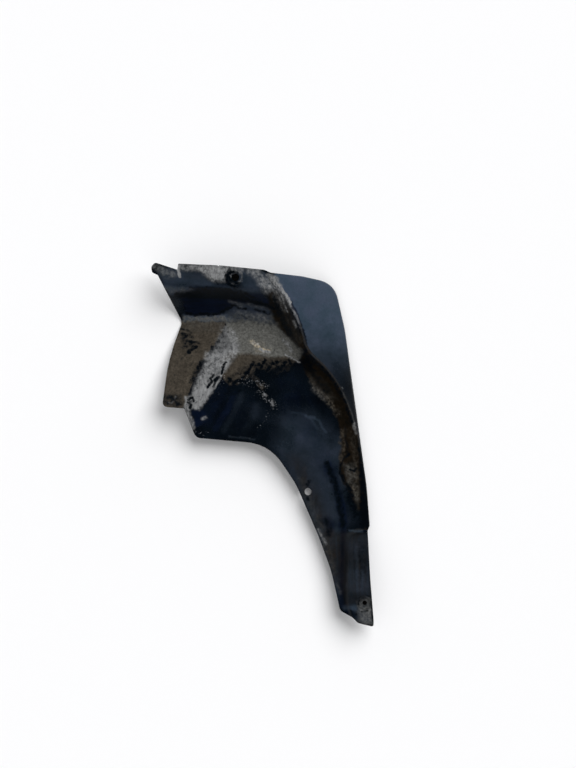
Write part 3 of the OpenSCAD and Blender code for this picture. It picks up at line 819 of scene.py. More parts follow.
    def loft(self, step):
        """The top surface as a grid of points, a row at least every step millimetres, and how far
        across and along the shell each point is, counted in corners and cross-sections."""
        rows, along = [], []
        for i in range(len(self.corners) - 1):
            span = np.linalg.norm(self.corners[i + 1] - self.corners[i], axis=1).max()
            count = math.ceil(span / step)
            for k in range(count):
                along.append(i + k / count)
                on_tail = smooth(along[-1] - self.TAIL_START)
                rows.append(self.profile(self.between(i, k / count), on_tail))
        rows.append(self.profile(self.corners[-1], 1))
        along.append(len(self.corners) - 1)
        points = np.array([r[0] for r in rows])
        across = np.array([r[1] for r in rows])
        return points, across, np.repeat(np.array(along)[:, None], points.shape[1], axis=1)

    def outline(self, step):
        """The outline in plan, with rounded corners and a point at least every step."""
        corners = [np.array(self.place(x, y)) for x, y, _ in self.OUTLINE]
        points = []
        for i, (_, _, radius) in enumerate(self.OUTLINE):
            b = corners[i]
            to_a, to_c = corners[i - 1] - b, corners[(i + 1) % len(corners)] - b
            room = self.MOST_CORNER * min(np.linalg.norm(to_a), np.linalg.norm(to_c))
            to_a, to_c = to_a / np.linalg.norm(to_a), to_c / np.linalg.norm(to_c)
            half = math.acos(float(np.clip(to_a @ to_c, -1, 1))) / 2
            cut = min(radius / math.tan(half), room)
            for_turn = math.ceil(self.CORNER_PIECES * (90 - math.degrees(half)) / 45)
            count = max(for_turn, math.ceil(2 * cut / step), 1)
            t = np.linspace(0, 1, count + 1)[:, None]
            points.extend(bezier(b + to_a * cut, b, b + to_c * cut, t))
        return divide(np.array(points), step)


def divide(loop, step):
    """A closed line of points with its long pieces divided, and doubled points dropped."""
    result = []
    for a, b in zip(loop, np.roll(loop, -1, axis=0)):
        length = np.linalg.norm(b - a)
        if length < step / 20:
            continue
        count = math.ceil(length / step)
        result.extend(mix(a, b, k / count) for k in range(count))
    return np.array(result)


def square_to(grid):
    """Unit vectors square to a grid of points, pointing up."""
    normal = np.cross(np.gradient(grid, axis=1), np.gradient(grid, axis=0))
    return normal / np.linalg.norm(normal, axis=2, keepdims=True)


def grid_triangles(rows, cols):
    """Two triangles for each cell of a grid of points."""
    at = np.arange(rows * cols).reshape(rows, cols)
    a, b, c, d = (
        part.ravel() for part in (at[:-1, :-1], at[1:, :-1], at[1:, 1:], at[:-1, 1:]))
    return np.concatenate((np.stack((a, b, c), 1), np.stack((a, c, d), 1)))


class Surface:
    """A grid of points that can be asked for its height, and for values, over a plan point."""

    # How far above or below the plan a ray starts, in millimetres
    REACH = 500

    def __init__(self, grid):
        self.points = grid.reshape(-1, 3)
        self.triangles = grid_triangles(*grid.shape[:2])
        self.tree = BVHTree.FromPolygons(self.points.tolist(), self.triangles.tolist())

    def under(self, plan, upward=False):
        """For each plan point, the height met by a ray and the weights of a triangle's corners."""
        direction = Vector((0, 0, 1 if upward else -1))
        start = -self.REACH * direction.z
        heights, found = np.empty(len(plan)), np.empty(len(plan), int)
        for k, (x, y) in enumerate(plan.tolist()):
            place, _, index, _ = self.tree.ray_cast(Vector((x, y, start)), direction)
            if place is None:
                raise RuntimeError(f"the surface doesn't reach the point {x:.1f}, {y:.1f}")
            heights[k], found[k] = place.z, index
        corners = self.triangles[found]
        a, b, c = (self.points[corners[:, k], :2] for k in range(3))
        whole = cross_2d(b - a, c - a)
        weight_b = cross_2d(plan - a, c - a) / whole
        weight_c = cross_2d(b - a, plan - a) / whole
        weights = np.stack((1 - weight_b - weight_c, weight_b, weight_c), 1)
        return heights, corners, weights


def cross_2d(a, b):
    """Twice the area of the triangle between each two plan vectors."""
    return a[:, 0] * b[:, 1] - a[:, 1] * b[:, 0]


def blend_corners(values, corners, weights):
    """Values of a surface's points, taken between a triangle's corners."""
    picked = values.reshape(-1, *values.shape[2:])[corners]
    return (picked * weights.reshape(*weights.shape, *[1] * (picked.ndim - 2))).sum(1)


def distance_to(plan, trace, closed=False):
    """How far each plan point is from a line of points."""
    ends = np.roll(trace, -1, axis=0) if closed else trace[1:]
    starts = trace if closed else trace[:-1]
    best = np.full(len(plan), np.inf)
    for a, b in zip(starts, ends):
        to_b = b - a
        share = np.clip((plan - a) @ to_b / max(to_b @ to_b, 1e-9), 0, 1)
        best = np.minimum(best, np.hypot(*(plan - a - share[:, None] * to_b).T))
    return best


def is_inside(plan, loop):
    """Which plan points lie inside a closed line."""
    inside = np.zeros(len(plan), bool)
    for (ax, ay), (bx, by) in zip(loop, np.roll(loop, -1, axis=0)):
        if ay == by:
            continue
        crosses = (ay > plan[:, 1]) != (by > plan[:, 1])
        inside ^= crosses & (plan[:, 0] < ax + (bx - ax) * (plan[:, 1] - ay) / (by - ay))
    return inside


def circle(centre, radius, count):
    """Points round a circle in plan."""
    turn = np.linspace(0, 2 * math.pi, count, endpoint=False)
    return np.array(centre) + radius * np.stack((np.cos(turn), np.sin(turn)), 1)


def ripple(plan, scale, seed):
    """Soft random waves between about -1 and 1, one every scale millimetres."""
    return np.array([noise.noise((x / scale, y / scale, seed)) for x, y in plan.tolist()])


def waves(plan, parts):
    """Soft random heights, made of waves with a swing, a scale and a seed each."""
    return sum(swing * ripple(plan, scale, seed) for swing, scale, seed in parts)


def sway(plan, swing, scale, *seeds):
    """How far soft random waves move each plan point, with a seed for each direction."""
    return swing * np.stack([ripple(plan, scale, seed) for seed in seeds], 1)


def inward(loop, distance):
    """A closed line moved inwards, without the points that come too close to its old place."""
    ahead, behind = np.roll(loop, -1, axis=0), np.roll(loop, 1, axis=0)
    run = ahead - behind
    run /= np.linalg.norm(run, axis=1, keepdims=True)
    moved = loop + distance * np.stack((run[:, 1], -run[:, 0]), 1)
    return moved[distance_to(moved, loop, closed=True) > 0.9 * distance]


def ring(centre, radius):
    """Points round a hole, or round the edge of its recess or seat."""
    return circle(centre, radius, max(RING_LEAST, math.ceil(2 * math.pi * radius / RING_STEP)))


def filling(outline, holes, clear, step):
    """Points step millimetres apart inside the outline, clear of its rows and of the rings round
    the holes."""
    low, high = outline.min(0), outline.max(0)
    lines = np.arange(low[1], high[1], step * math.sqrt(3) / 2)
    grid = np.array([
        (x, y) for k, y in enumerate(lines)
        for x in np.arange(low[0] + step / 2 * (k % 2), high[0], step)])
    grid = grid[is_inside(grid, outline)]
    grid = grid[distance_to(grid, outline, closed=True) > clear + step / 2]
    for centre, hole, rings in holes:
        grid = grid[np.hypot(*(grid - centre).T) > hole + step / 2]
        for radius in rings:
            grid = grid[np.abs(np.hypot(*(grid - centre).T) - radius) > step / 2]
    return grid


def plan_mesh(shell, outline, step):
    """Points and triangles in plan that fill the outline round the holes, with rows of points
    along the edges for their rounding."""
    loops, holes = [outline], []
    rows = [inward(outline, share * shell.edge_round) for share in EDGE_ROWS]
    for centre, hole, *steps in (shell.CLIP, shell.SCREW, shell.EDGE_HOLE):
        centre = np.array(shell.place(*centre))
        rings = [hole / 2 + gap for gap in HOLE_ROWS]
        rings += [diameter / 2 + gap for diameter in steps if diameter for gap in STEP_ROWS]
        loops.append(ring(centre, hole / 2))
        rows += [ring(centre, radius) for radius in rings]
        holes.append((centre, hole / 2, rings))
    rows.append(filling(outline, holes, EDGE_ROWS[-1] * shell.edge_round, step))
    points, edges = [], []
    for loop in loops:
        first, count = len(points), len(loop)
        points.extend(loop.tolist())
        edges.extend((first + k, first + (k + 1) % count) for k in range(count))
    for row in rows:
        points.extend(row.tolist())
    made = delaunay_2d_cdt([Vector(point) for point in points], edges, [], 0, MERGE)
    plan = np.array([tuple(point) for point in made[0]])
    triangles = np.array([tuple(face) for face in made[2]])
    middle = plan[triangles].mean(1)
    kept = is_inside(middle, outline)
    for loop in loops[1:]:
        kept &= ~is_inside(middle, loop)
    used, triangles = np.unique(triangles[kept], return_inverse=True)
    return plan[used], triangles.reshape(-1, 3)


def seats(shell, plan, surface):
    """The level discs round the clip and screw holes: for each point the level of the disc,
    how much of it applies on the top and on the underside, and the rise on the top."""
    level, share, rise = np.zeros(len(plan)), np.zeros(len(plan)), np.zeros(len(plan))
    for centre, _, recess, seat in (shell.CLIP, shell.SCREW):
        centre = np.array([shell.place(*centre)])
        height = surface.under(centre)[0][0]
        far = np.hypot(*(plan - centre).T)
        level = np.where(far < seat / 2 + SEAT_MARGIN, height, level)
        share = np.maximum(share, before(far, seat / 2 + STEP_REACH, STEP_WIDTH))
        raised = past(far, recess / 2 - STEP_REACH, STEP_WIDTH) * (far < seat)
        rise = np.maximum(rise, shell.seat_rise * raised)
    return level, share, rise


def edge_drop(distance, radius):
    """How far a rounded edge has dropped at a distance in from it."""
    left = np.clip(radius - distance, 0, radius)
    return radius - np.sqrt(np.clip(radius ** 2 - left ** 2, 0, None))


def from_photo(points):
    """Plan points in millimetres of points in the photograph's frame."""
    return (np.array(points, float) - OBJECT_AT) * (PIXEL, -PIXEL)


def share_of(mark, plan):
    """How much of a mark lies on each plan point."""
    trace, feather = from_photo(mark.points), mark.feather * PIXEL
    if mark.reach is None:
        far = distance_to(plan, trace, closed=True)
        far[is_inside(plan, trace)] *= -1
        return mark.strength * smooth(0.5 - far / feather)
    far = distance_to(plan, trace)
    return mark.strength * before(far, mark.reach * PIXEL + feather, feather)


def all_of(marks, plan):
    """How much of a layer lies on each plan point, where its marks build up to 1 at most."""
    bare = np.ones(len(plan))
    for mark in marks.values():
        bare *= 1 - share_of(mark, plan)
    return 1 - bare


def wear_of(plan, across, along):
    """The share of each layer of wear and dirt on each point of the worn side."""
    ragged = plan + sway(plan, *RAGGED) + sway(plan, *RAGGED_FINE)
    splashed = ragged + sway(plan, *SPLASHED)
    layers = {
        name: all_of(marks, splashed if name == "soil" else ragged)
        for name, marks in LAYERS.items()}
    # The flap keeps clean but for its painted blue-grey sheen, light high up and fading downwards,
    # and painted shade lies on the rim over it
    on_flap = before(across, *Shell.FLAP_TOP) * past(along, *Shell.FLAP_START)
    on_flap *= before(along, *Shell.FLAP_END)
    on_rim = past(across, *Shell.RIM_FOOT) * on_flap
    flap_sheen = (1 - before(plan[:, 1], *FLAP_SHEEN_FADE)) * on_flap * (1 - RIM_SHADE * on_rim)
    layers["shade_and_sheen"] = np.maximum(layers["shade_and_sheen"], RIM_SHADE * on_rim)
    layers["bloom_and_sheen"] = 1 - (1 - layers["bloom_and_sheen"] * (1 - on_flap)) * (1 - flap_sheen)
    for name in ("film", "soil", "dust"):
        layers[name] *= 1 - on_flap
    # Road film lies on the rim and over the crest
    on_crest = before(across, *Shell.CREST_TOP) * past(across, *Shell.CREST_FOOT)
    on_crest = np.maximum(on_crest, on_rim)
    on_crest *= past(along, *Shell.CREST_START) * before(along, *Shell.CREST_END)
    layers["film"] = np.maximum(layers["film"], on_crest)
    bare = (1 - layers["soil"]) * (1 - layers["dust"]) * (1 - layers["sand"])
    layers["thickness"] = 1 - bare * (1 - CRUMB_BODY * layers["crumbs"])
    return layers


def flow_of(shell, across, along):
    """Distances along and across the shell, in metres, for streaks that follow it."""
    crests = np.array([corners[shell.CREST] for corners in shell.corners])
    run = np.concatenate(([0], np.cumsum(np.linalg.norm(np.diff(crests, axis=0), axis=1))))
    run = np.interp(along, range(len(run)), run)
    return np.stack((run, across * FLOW_WIDTH, 0 * across), 1) * MM


def worn_side(shell, outline, top, across, along):
    """The side towards the wheel: its points and triangles, the shares of its layers of wear, and
    the flow of its streaks."""
    plan, triangles = plan_mesh(shell, outline, shell.mesh_step)
    height, corners, weights = top.under(plan)
    across = blend_corners(across, corners, weights)
    along = blend_corners(along, corners, weights)
    wear = wear_of(plan, across, along)
    level, share, rise = seats(shell, plan, top)
    height = mix(height, level + rise, share) + (1 - share) * waves(plan, WAVES)
    rolled = before(across, *Shell.ROLL_TOP) * past(along, *Shell.ROLL_START)
    radius = mix(shell.edge_round, shell.flap_roll, rolled)
    height -= edge_drop(distance_to(plan, outline, closed=True), radius)
    height += relief_of(plan, wear)
    return np.column_stack((plan, height)), triangles, wear, flow_of(shell, across, along)


def back_side(shell, outline, top, underside, normals):
    """The side towards the car: its plan as it is drawn, and its points, which away from the
    edge have moved square to the shell, and triangles."""
    plan, triangles = plan_mesh(shell, outline, BACK_STEP)
    _, corners, weights = top.under(plan)
    lean = blend_corners(normals, corners, weights)[:, :2]
    from_edge = distance_to(plan, outline, closed=True)
    level, share, _ = seats(shell, plan, top)
    moved = shell.wall * lean * smooth(from_edge / BACK_FADE)[:, None] * (1 - share)[:, None]
    shifted = plan - moved
    height = underside.under(shifted, upward=True)[0]
    height = mix(height, level - shell.wall - shell.seat_rise, share)
    height += (1 - share) * waves(plan, WAVES)
    height += edge_drop(from_edge, shell.edge_round)
    return plan, np.column_stack((shifted, height)), triangles


def build_shell(shell):
    """The whole shell: its points and faces, and the shares of its layers and the flow of its
    streaks at each point."""
    grid, across, along = shell.loft(LOFT_STEP)
    normals = square_to(grid)
    top, underside = Surface(grid), Surface(grid - shell.wall * normals)
    outline = shell.outline(EDGE_STEP)
    front, triangles, wear, flow = worn_side(shell, outline, top, across, along)
    plan, back, back_triangles = back_side(shell, outline, top, underside, normals)

    # Both sides have the same points along their edges, which the rim's faces join
    count = len(front)
    below = {tuple(place): count + k for k, place in enumerate(plan.round(3).tolist())}
    under = [below.get(tuple(place)) for place in front[:, :2].round(3).tolist()]
    faces = [*triangles.tolist(), *(back_triangles[:, ::-1] + count).tolist()]
    for a, b in open_edges(triangles):
        faces.append((a, under[a], under[b], b))
    points = np.concatenate((front, back))
    values = {
        name: np.append(shares, np.full(len(back), BACK_WEAR.get(name, 0)))
        for name, shares in wear.items()}
    flow = np.concatenate((flow, np.column_stack((plan * MM, np.zeros(len(plan))))))
    low, high = (corner[2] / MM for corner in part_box(NODE))
    points += (*plan_shift(outline), low - points[:, 2].min())
    points[:, 2] = np.minimum(points[:, 2], high)
    return points, faces, values, flow


def open_edges(triangles):
    """Edges that only one triangle has, each in that triangle's direction."""
    edges = {}
    for a, b, c in triangles.tolist():
        for start, end in ((a, b), (b, c), (c, a)):
            if edges.pop((end, start), None) is None:
                edges[(start, end)] = True
    return edges


def relief_of(plan, wear):
    """How far dried mud and the ridge at the step stand proud of the plastic, and scrapes lie
    below it."""
    caked = sum(height * wear[name] for name, height in CAKED.items())
    lumps = np.clip(waves(plan, LUMPS), 0, 1)
    return lumps * caked - SCRAPE * wear["stain_and_shade"] + share_of(RIDGE, plan)


def plan_shift(outline):
    """What centres the outline in plan on its node in the frame."""
    low, high = (np.array(corner[:2]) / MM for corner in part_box(NODE))
    return (low + high) / 2 - (outline.min(0) + outline.max(0)) / 2


def add_node(tree, kind, settings=None, inputs=None):
    """Adds one node. Settings are its own values, and inputs are sockets to link or values."""
    node = tree.nodes.new(kind)
    for name, value in (settings or {}).items():
        setattr(node, name, value)
    for name, value in (inputs or {}).items():
        if isinstance(value, bpy.types.NodeSocket):
            tree.links.new(value, node.inputs[name])
        else:
            node.inputs[name].default_value = value
    return node


def new_material(name):
    """A material without nodes, and its node tree."""
    material = bpy.data.materials.new(name)
    material.use_nodes = True
    material.node_tree.nodes.clear()
    return material, material.node_tree


def shaded(colour, factor):
    """A colour made darker or lighter, with the alpha that a socket asks for."""
    return (*(min(1, channel * factor) for channel in colour), 1)


def around(colour, spread):
    """A darker and a lighter version of a colour."""
    return shaded(colour, 1 - spread), shaded(colour, 1 + spread)


def broken_share(tree, painted, pattern, swing, crisp):
    """How much of a layer shows: what was painted, more or less of it as a pattern goes, and
    with firm borders where it is crisp."""
    factor = add_node(tree, "ShaderNodeMath", {"operation": "MULTIPLY_ADD"}, {
        0: pattern, 1: swing, 2: 1 - swing / 2}).outputs["Value"]
    broken = add_node(tree, "ShaderNodeMath", {"operation": "MULTIPLY"}, {
        0: painted, 1: factor}).outputs["Value"]
    return add_node(tree, "ShaderNodeMapRange", {"interpolation_type": "SMOOTHSTEP"}, {
        "Value": broken, "From Min": crisp, "From Max": 1 - crisp}).outputs["Result"]


def moulded_polypropylene(colours):
    """Injection-moulded black polypropylene after years behind a wheel. Washed, it is black with a
    soft satin shine, painted a little blue as a reflection of the sky. Sun has turned parts of it
    blue-grey, and on the flap a painted blue-grey sheen is light high up and fades downwards. A
    brown film, mud and grey dust lie on others and take the shine away, and scuffs have left it
    pale and chalky, some with painted highlights. Painted shade darkens walls, the valley, rims and
    the seats round the holes."""
    material, tree = new_material("moulded_polypropylene")
    place = add_node(tree, "ShaderNodeTexCoord").outputs["Object"]
    flow = add_node(tree, "ShaderNodeAttribute", {"attribute_name": "flow"}).outputs["Vector"]
    along_facet = add_node(tree, "ShaderNodeMapping", {}, {
        "Vector": place, "Rotation": (0, 0, math.radians(FACET_TURN)), "Scale": (1, 0.3, 1)})
    along_shell = add_node(tree, "ShaderNodeMapping", {}, {"Vector": flow, "Scale": (0.12, 1, 1)})
    # Each pattern's coordinates, the millimetres between its spots, and its detail
    patterns = {
        name: add_node(tree, "ShaderNodeMapRange", {}, {
            "Value": add_node(tree, "ShaderNodeTexNoise", {}, {
                "Vector": vector, "Scale": 1 / (size * MM), "Detail": detail, "Roughness": 0.62,
            }).outputs["Fac"], "From Min": NOISE_LOW, "From Max": NOISE_HIGH}).outputs["Result"]
        for name, vector, size, detail in (
            ("clouds", place, 26, 5), ("blots", place, 9.0, 8), ("crumbs", place, 4.0, 8),
            ("grit", place, 2.4, 6), ("specks", place, 2.4, 9),
            ("scratches", along_facet.outputs["Vector"], 2.8, 8),
            ("streaks", along_shell.outputs["Vector"], 4.0, 7))}
    colour = add_node(tree, "ShaderNodeMix", {"data_type": "RGBA"}, {
        0: patterns["clouds"], MIX_A: shaded(colours.plastic, 0.5),
        MIX_B: shaded(colours.plastic, 1.5)}).outputs[MIX_COLOUR]
    rough = add_node(tree, "ShaderNodeMapRange", {}, {
        "Value": patterns["clouds"], "To Min": 0.18, "To Max": 0.3}).outputs["Result"]
    thick = add_node(tree, "ShaderNodeAttribute", {"attribute_name": "thickness"}).outputs["Fac"]
    # Each layer's two tones, its roughness, the patterns of its edges and of its colour, how
    # much it comes and goes, and how firm its borders are
    for name, tones, matt, edges, tint, swing, crisp in (
            ("bloom_and_sheen", (shaded(colours.bloom_and_sheen, 0.9), (*colours.violet, 1)), 0.42, "clouds", "clouds",
             0.4, 0.0),
            ("shade_and_sheen", around(colours.shade_and_sheen, 0.45), 0.35, "streaks", "streaks", 0.8, 0.05),
            ("film", ((*colours.film, 1), (*colours.rust, 1)), 0.6, "streaks", "blots", 0.7, 0.05),
            ("soil", around(colours.soil, 0.38), 0.8, "crumbs", "blots", 1.2, 0.22),
            ("dust", around(colours.dust, 0.22), 0.85, "crumbs", "blots", 1.1, 0.05),
            ("sand", around(colours.sand, 0.3), 0.8, "crumbs", "grit", 1.6, 0.1),
            ("chalk", around(colours.chalk, 0.45), 0.6, "crumbs", "scratches", 1.5, 0.0),
            ("stain_and_shade", around(colours.stain_and_shade, 0.3), 0.3, "crumbs", "grit", 1.6, 0.12)):
        painted = add_node(tree, "ShaderNodeAttribute", {"attribute_name": name}).outputs["Fac"]
        share = broken_share(tree, painted, patterns[edges], swing, crisp)
        own = add_node(tree, "ShaderNodeMix", {"data_type": "RGBA", "clamp_factor": True}, {
            0: patterns[tint], MIX_A: tones[0], MIX_B: tones[1]}).outputs[MIX_COLOUR]
        colour = add_node(tree, "ShaderNodeMix", {"data_type": "RGBA"}, {
            0: share, MIX_A: colour, MIX_B: own}).outputs[MIX_COLOUR]
        rough = add_node(tree, "ShaderNodeMix", {}, {0: share, 2: rough, 3: matt}).outputs[0]
    # Crumbs are spots where a fine pattern peaks. None show where none are painted, and they
    # cover about half where the painting is full.
    painted = add_node(tree, "ShaderNodeAttribute", {"attribute_name": "crumbs"}).outputs["Fac"]
    peaks = add_node(tree, "ShaderNodeMath", {"operation": "MULTIPLY_ADD"}, {
        0: painted, 1: 0.75, 2: patterns["specks"]}).outputs["Value"]
    share = add_node(tree, "ShaderNodeMapRange", {"interpolation_type": "SMOOTHSTEP"}, {
        "Value": peaks, "From Min": 1.25, "From Max": 1.7}).outputs["Result"]
    colour = add_node(tree, "ShaderNodeMix", {"data_type": "RGBA"}, {
        0: share, MIX_A: colour, MIX_B: (*colours.crumbs, 1)}).outputs[MIX_COLOUR]
    # What lies on the plastic is grainy
    grain = add_node(tree, "ShaderNodeMath", {"operation": "MULTIPLY_ADD"}, {
        0: patterns["grit"], 1: 0.9, 2: -0.45}).outputs["Value"]
    caked = add_node(tree, "ShaderNodeMapRange", {}, {
        "Value": thick, "To Min": 0.3, "To Max": 1.0}).outputs["Result"]
    grain = add_node(tree, "ShaderNodeMath", {"operation": "MULTIPLY_ADD"}, {
        0: grain, 1: caked, 2: 1.0}).outputs["Value"]
    colour = add_node(tree, "ShaderNodeVectorMath", {"operation": "SCALE"}, {
        0: colour, "Scale": grain}).outputs["Vector"]
    height = add_node(tree, "ShaderNodeMath", {"operation": "MULTIPLY"}, {
        0: patterns["crumbs"], 1: thick}).outputs["Value"]
    bump = add_node(tree, "ShaderNodeBump", {}, {
        "Height": height, "Distance": 0.5 * MM, "Strength": 0.8})
    shader = add_node(tree, "ShaderNodeBsdfPrincipled", {}, {
        "Base Color": colour, "Roughness": rough, "IOR": 1.49, "Specular IOR Level": 0.2,
        "Normal": bump.outputs["Normal"]})
    add_node(tree, "ShaderNodeOutputMaterial", {}, {"Surface": shader.outputs["BSDF"]})
    return material


def studio_paper(colours):
    """Matt white background paper, which gives a floor with soft shadows and no gloss."""
    material, tree = new_material("studio_paper")
    shader = add_node(tree, "ShaderNodeBsdfPrincipled", {}, {
        "Base Color": (*colours.floor, 1), "Roughness": 1.0, "Specular IOR Level": 0.0})
    add_node(tree, "ShaderNodeOutputMaterial", {}, {"Surface": shader.outputs["BSDF"]})
    return material


def new_object(context, name, points, faces, material):
    """A smooth mesh object of one material, linked to the scene."""
    mesh = bpy.data.meshes.new(name)
    mesh.from_pydata([tuple(p) for p in points], [], faces)
    mesh.materials.append(material)
    mesh.shade_smooth()
    made = bpy.data.objects.new(name, mesh)
    context.scene.collection.objects.link(made)
    return made


class MUDGUARD_OT_shell(bpy.types.Operator):
    """Build the moulded shell of the mudguard"""

    bl_idname = "mudguard.shell"
    bl_label = "Moulded shell"

    def execute(self, context):
        shell = Shell(context.scene.mudguard_sizes)
        points, faces, values, flow = build_shell(shell)
        made = new_object(
            context, "moulded_shell", points * MM, faces,
            moulded_polypropylene(context.scene.mudguard_colours))
        for name, shares in values.items():
            made.data.attributes.new(name, "FLOAT", "POINT").data.foreach_set("value", shares)
        made.data.attributes.new("flow", "FLOAT_VECTOR", "POINT").data.foreach_set(
            "vector", flow.ravel())
        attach(made, "root")
        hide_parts(NODE)
        return {"FINISHED"}


def near_black_plug(colours):
    """A matt, lumpy plug in a hole, in the mud's colour darkened nearly to black as painted shade.
    """
    material, tree = new_material("near_black_plug")
    place = add_node(tree, "ShaderNodeTexCoord").outputs["Object"]
    lumps = add_node(tree, "ShaderNodeTexNoise", {}, {
        "Vector": place, "Scale": 1 / (1.5 * MM), "Detail": 5}).outputs["Fac"]
    colour = add_node(tree, "ShaderNodeMix", {"data_type": "RGBA"}, {
        0: lumps, MIX_A: shaded(colours.soil, 0.005), MIX_B: shaded(colours.soil, 0.055)})
    bump = add_node(tree, "ShaderNodeBump", {}, {"Height": lumps, "Distance": 0.5 * MM})
    shader = add_node(tree, "ShaderNodeBsdfPrincipled", {}, {
        "Base Color": colour.outputs[MIX_COLOUR], "Roughness": 0.95, "Specular IOR Level": 0.2,
        "Normal": bump.outputs["Normal"]})
    add_node(tree, "ShaderNodeOutputMaterial", {}, {"Surface": shader.outputs["BSDF"]})
    return material


def lumpy_disc(centre, radius, top, bottom, seed):
    """A plug that fills a hole, with an uneven top, in millimetres: its points and faces."""
    rings, spokes = 7, 30
    points, faces = [], []
    for level, swing in ((top, PLUG_SWING), (bottom, 0)):
        first = len(points)
        points.append((*centre, level))
        for ring_number in range(1, rings + 1):
            for x, y in circle(centre, radius * ring_number / rings, spokes):
                lump = noise.noise((x / PLUG_LUMP, y / PLUG_LUMP, seed))
                points.append((x, y, level + swing * lump))
        for k in range(spokes):
            beside = (k + 1) % spokes
            faces.append((first, first + 1 + k, first + 1 + beside))
            for inner in range(first + 1, first + 1 + (rings - 1) * spokes, spokes):
                outer = inner + spokes
                faces.append((inner + k, outer + k, outer + beside, inner + beside))
    half, count = len(faces) // 2, len(points) // 2
    faces[half:] = [face[::-1] for face in faces[half:]]
    rim = count - spokes
    for k in range(spokes):
        beside = (k + 1) % spokes
        faces.append((rim + beside, rim + k, rim + k + count, rim + beside + count))
    return points, faces


class MUDGUARD_OT_mud(bpy.types.Operator):
    """Fill the clip hole and the screw hole of the moulded shell with near-black plugs, painted
    shade
    """

    bl_idname = "mudguard.mud"
    bl_label = "Mud in the holes"

    def execute(self, context):
        shell = Shell(context.scene.mudguard_sizes)
        shift = plan_shift(shell.outline(EDGE_STEP))
        made = bpy.data.objects.get("moulded_shell")
        if made is None:
            raise RuntimeError("the moulded shell has to be built first")
        points = np.array([vertex.co for vertex in made.data.vertices]) / MM
        material = near_black_plug(context.scene.mudguard_colours)
        # Each hole, how far below its rim its dark plug lies in millimetres, and the seed of its
        # lumps
        for name, (place, hole, *_), sunk, seed in (
                ("dark_plug_in_clip_hole", shell.CLIP, 0.8, 16),
                ("dark_plug_in_screw_hole", shell.SCREW, 1.2, 17)):
            centre = np.array(shell.place(*place)) + shift
            near = np.hypot(*(points[:, :2] - centre).T) < hole / 2 + PLUG_RIM
            rim = points[near, 2]
            plug_points, faces = lumpy_disc(
                centre, hole / 2 + PLUG_GRIP, rim.max() - sunk, rim.min() + PLUG_RISE, seed)
            plug = new_object(context, name, np.array(plug_points) * MM, faces, material)
            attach(plug, "root")
            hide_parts(NODE)
        return {"FINISHED"}


def soft_lamp(name, azimuth, elevation, spread, strength):
    """A wide soft lamp far off, which gloss doesn't show."""
    light = bpy.data.lights.new(name, "SUN")
    light.energy = strength
    light.angle = math.radians(spread)
    made = bpy.data.objects.new(name, light)
    made.visible_glossy = False
    made.rotation_euler = (0, math.radians(90 - elevation), math.radians(90 - azimuth))
    return made


def studio_air():
    """The light that gloss shows: bright low down and towards the top of the photograph's frame,
    and dark overhead."""
    world = bpy.data.worlds.new("studio_air")
    world.use_nodes = True
    tree = world.node_tree
    tree.nodes.clear()
    toward = add_node(tree, "ShaderNodeTexCoord").outputs["Generated"]
    height = add_node(tree, "ShaderNodeSeparateXYZ", {}, {0: toward})
    ramp = add_node(tree, "ShaderNodeMapRange", {"interpolation_type": "SMOOTHERSTEP"}, {
        "Value": height.outputs["Z"], "From Min": 0.0, "From Max": AIR_TOP,
        "To Min": AIR_LOW, "To Max": AIR_HIGH}).outputs["Result"]
    side = add_node(tree, "ShaderNodeVectorMath", {"operation": "DOT_PRODUCT"}, {
        0: toward, 1: (0, 1, 0)})
    window = add_node(tree, "ShaderNodeMapRange", {"interpolation_type": "SMOOTHSTEP"}, {
        "Value": side.outputs["Value"], "From Min": WINDOW_FROM, "From Max": WINDOW_TO,
        "To Min": WINDOW_DIM, "To Max": 1.0}).outputs["Result"]
    light = add_node(tree, "ShaderNodeMath", {"operation": "MULTIPLY"}, {
        0: ramp, 1: window}).outputs["Value"]
    back = add_node(tree, "ShaderNodeBackground", {}, {"Color": light, "Strength": 1.0})
    add_node(tree, "ShaderNodeOutputWorld", {}, {"Surface": back.outputs["Background"]})
    return world


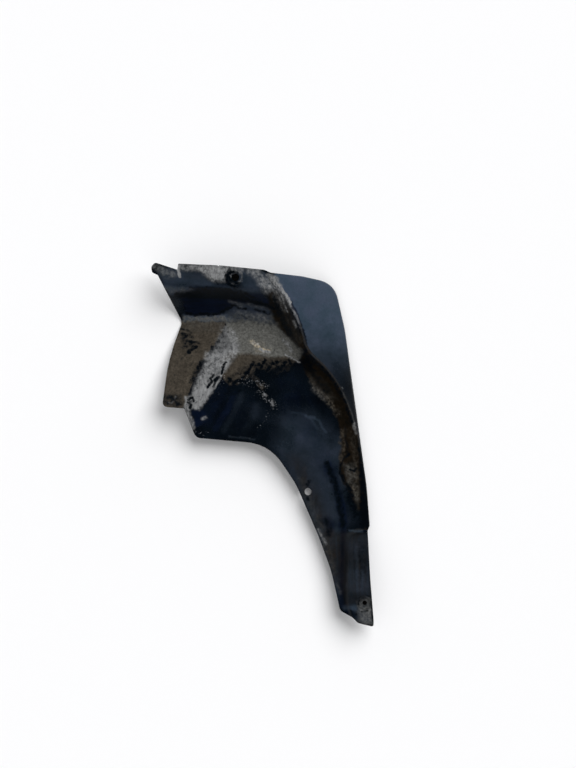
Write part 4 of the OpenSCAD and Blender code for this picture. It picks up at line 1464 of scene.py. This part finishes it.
def camera_above():
    """A camera straight above, which sees the photograph's frame."""
    camera = bpy.data.cameras.new("camera")
    camera.sensor_width = SENSOR
    camera.lens = SENSOR * CAMERA_HEIGHT / (FRAME_H * PIXEL)
    camera.clip_end = FAR
    made = bpy.data.objects.new("camera", camera)
    made.location = (
        (FRAME_W / 2 - OBJECT_AT[0]) * PIXEL * MM, (OBJECT_AT[1] - FRAME_H / 2) * PIXEL * MM,
        CAMERA_HEIGHT * MM)
    return made


class MUDGUARD_OT_stage(bpy.types.Operator):
    """Set up the floor, the soft light and the camera straight above"""

    bl_idname = "mudguard.stage"
    bl_label = "Studio stage"

    def execute(self, context):
        scene = context.scene
        corners = [
            (x * FLOOR_HALF, y * FLOOR_HALF, 0) for x, y in ((-1, -1), (1, -1), (1, 1), (-1, 1))]
        floor = new_object(
            context, "studio_floor", corners, [(0, 1, 2, 3)], studio_paper(scene.mudguard_colours))
        for name, settings in LAMPS.items():
            scene.collection.objects.link(soft_lamp(name, *settings))
        scene.world = studio_air()
        scene.view_settings.view_transform = "Standard"
        camera = camera_above()
        scene.collection.objects.link(camera)
        scene.camera = camera
        return {"FINISHED"}


class MUDGUARD_PT_panel(bpy.types.Panel):
    """Lists what builds the mudguard"""

    bl_label = "Mudguard"
    bl_idname = "MUDGUARD_PT_panel"
    bl_space_type = "VIEW_3D"
    bl_region_type = "UI"
    bl_category = "Mudguard"

    def draw(self, context):
        for group in (context.scene.mudguard_sizes, context.scene.mudguard_colours):
            box = self.layout.box()
            for name in type(group).__annotations__:
                box.prop(group, name)
        for operator in (MUDGUARD_OT_shell, MUDGUARD_OT_mud, MUDGUARD_OT_stage):
            self.layout.operator(operator.bl_idname)


CLASSES = (
    MudguardSizes, MudguardColours, MUDGUARD_OT_shell, MUDGUARD_OT_mud, MUDGUARD_OT_stage,
    MUDGUARD_PT_panel)


def register():
    for item in CLASSES:
        bpy.utils.register_class(item)
    bpy.types.Scene.mudguard_sizes = PointerProperty(type=MudguardSizes)
    bpy.types.Scene.mudguard_colours = PointerProperty(type=MudguardColours)


def unregister():
    del bpy.types.Scene.mudguard_colours
    del bpy.types.Scene.mudguard_sizes
    for item in reversed(CLASSES):
        bpy.utils.unregister_class(item)


def main():
    """Builds everything."""
    register()
    bpy.ops.mudguard.shell()
    bpy.ops.mudguard.mud()
    bpy.ops.mudguard.stage()


if __name__ == "__main__":
    main()
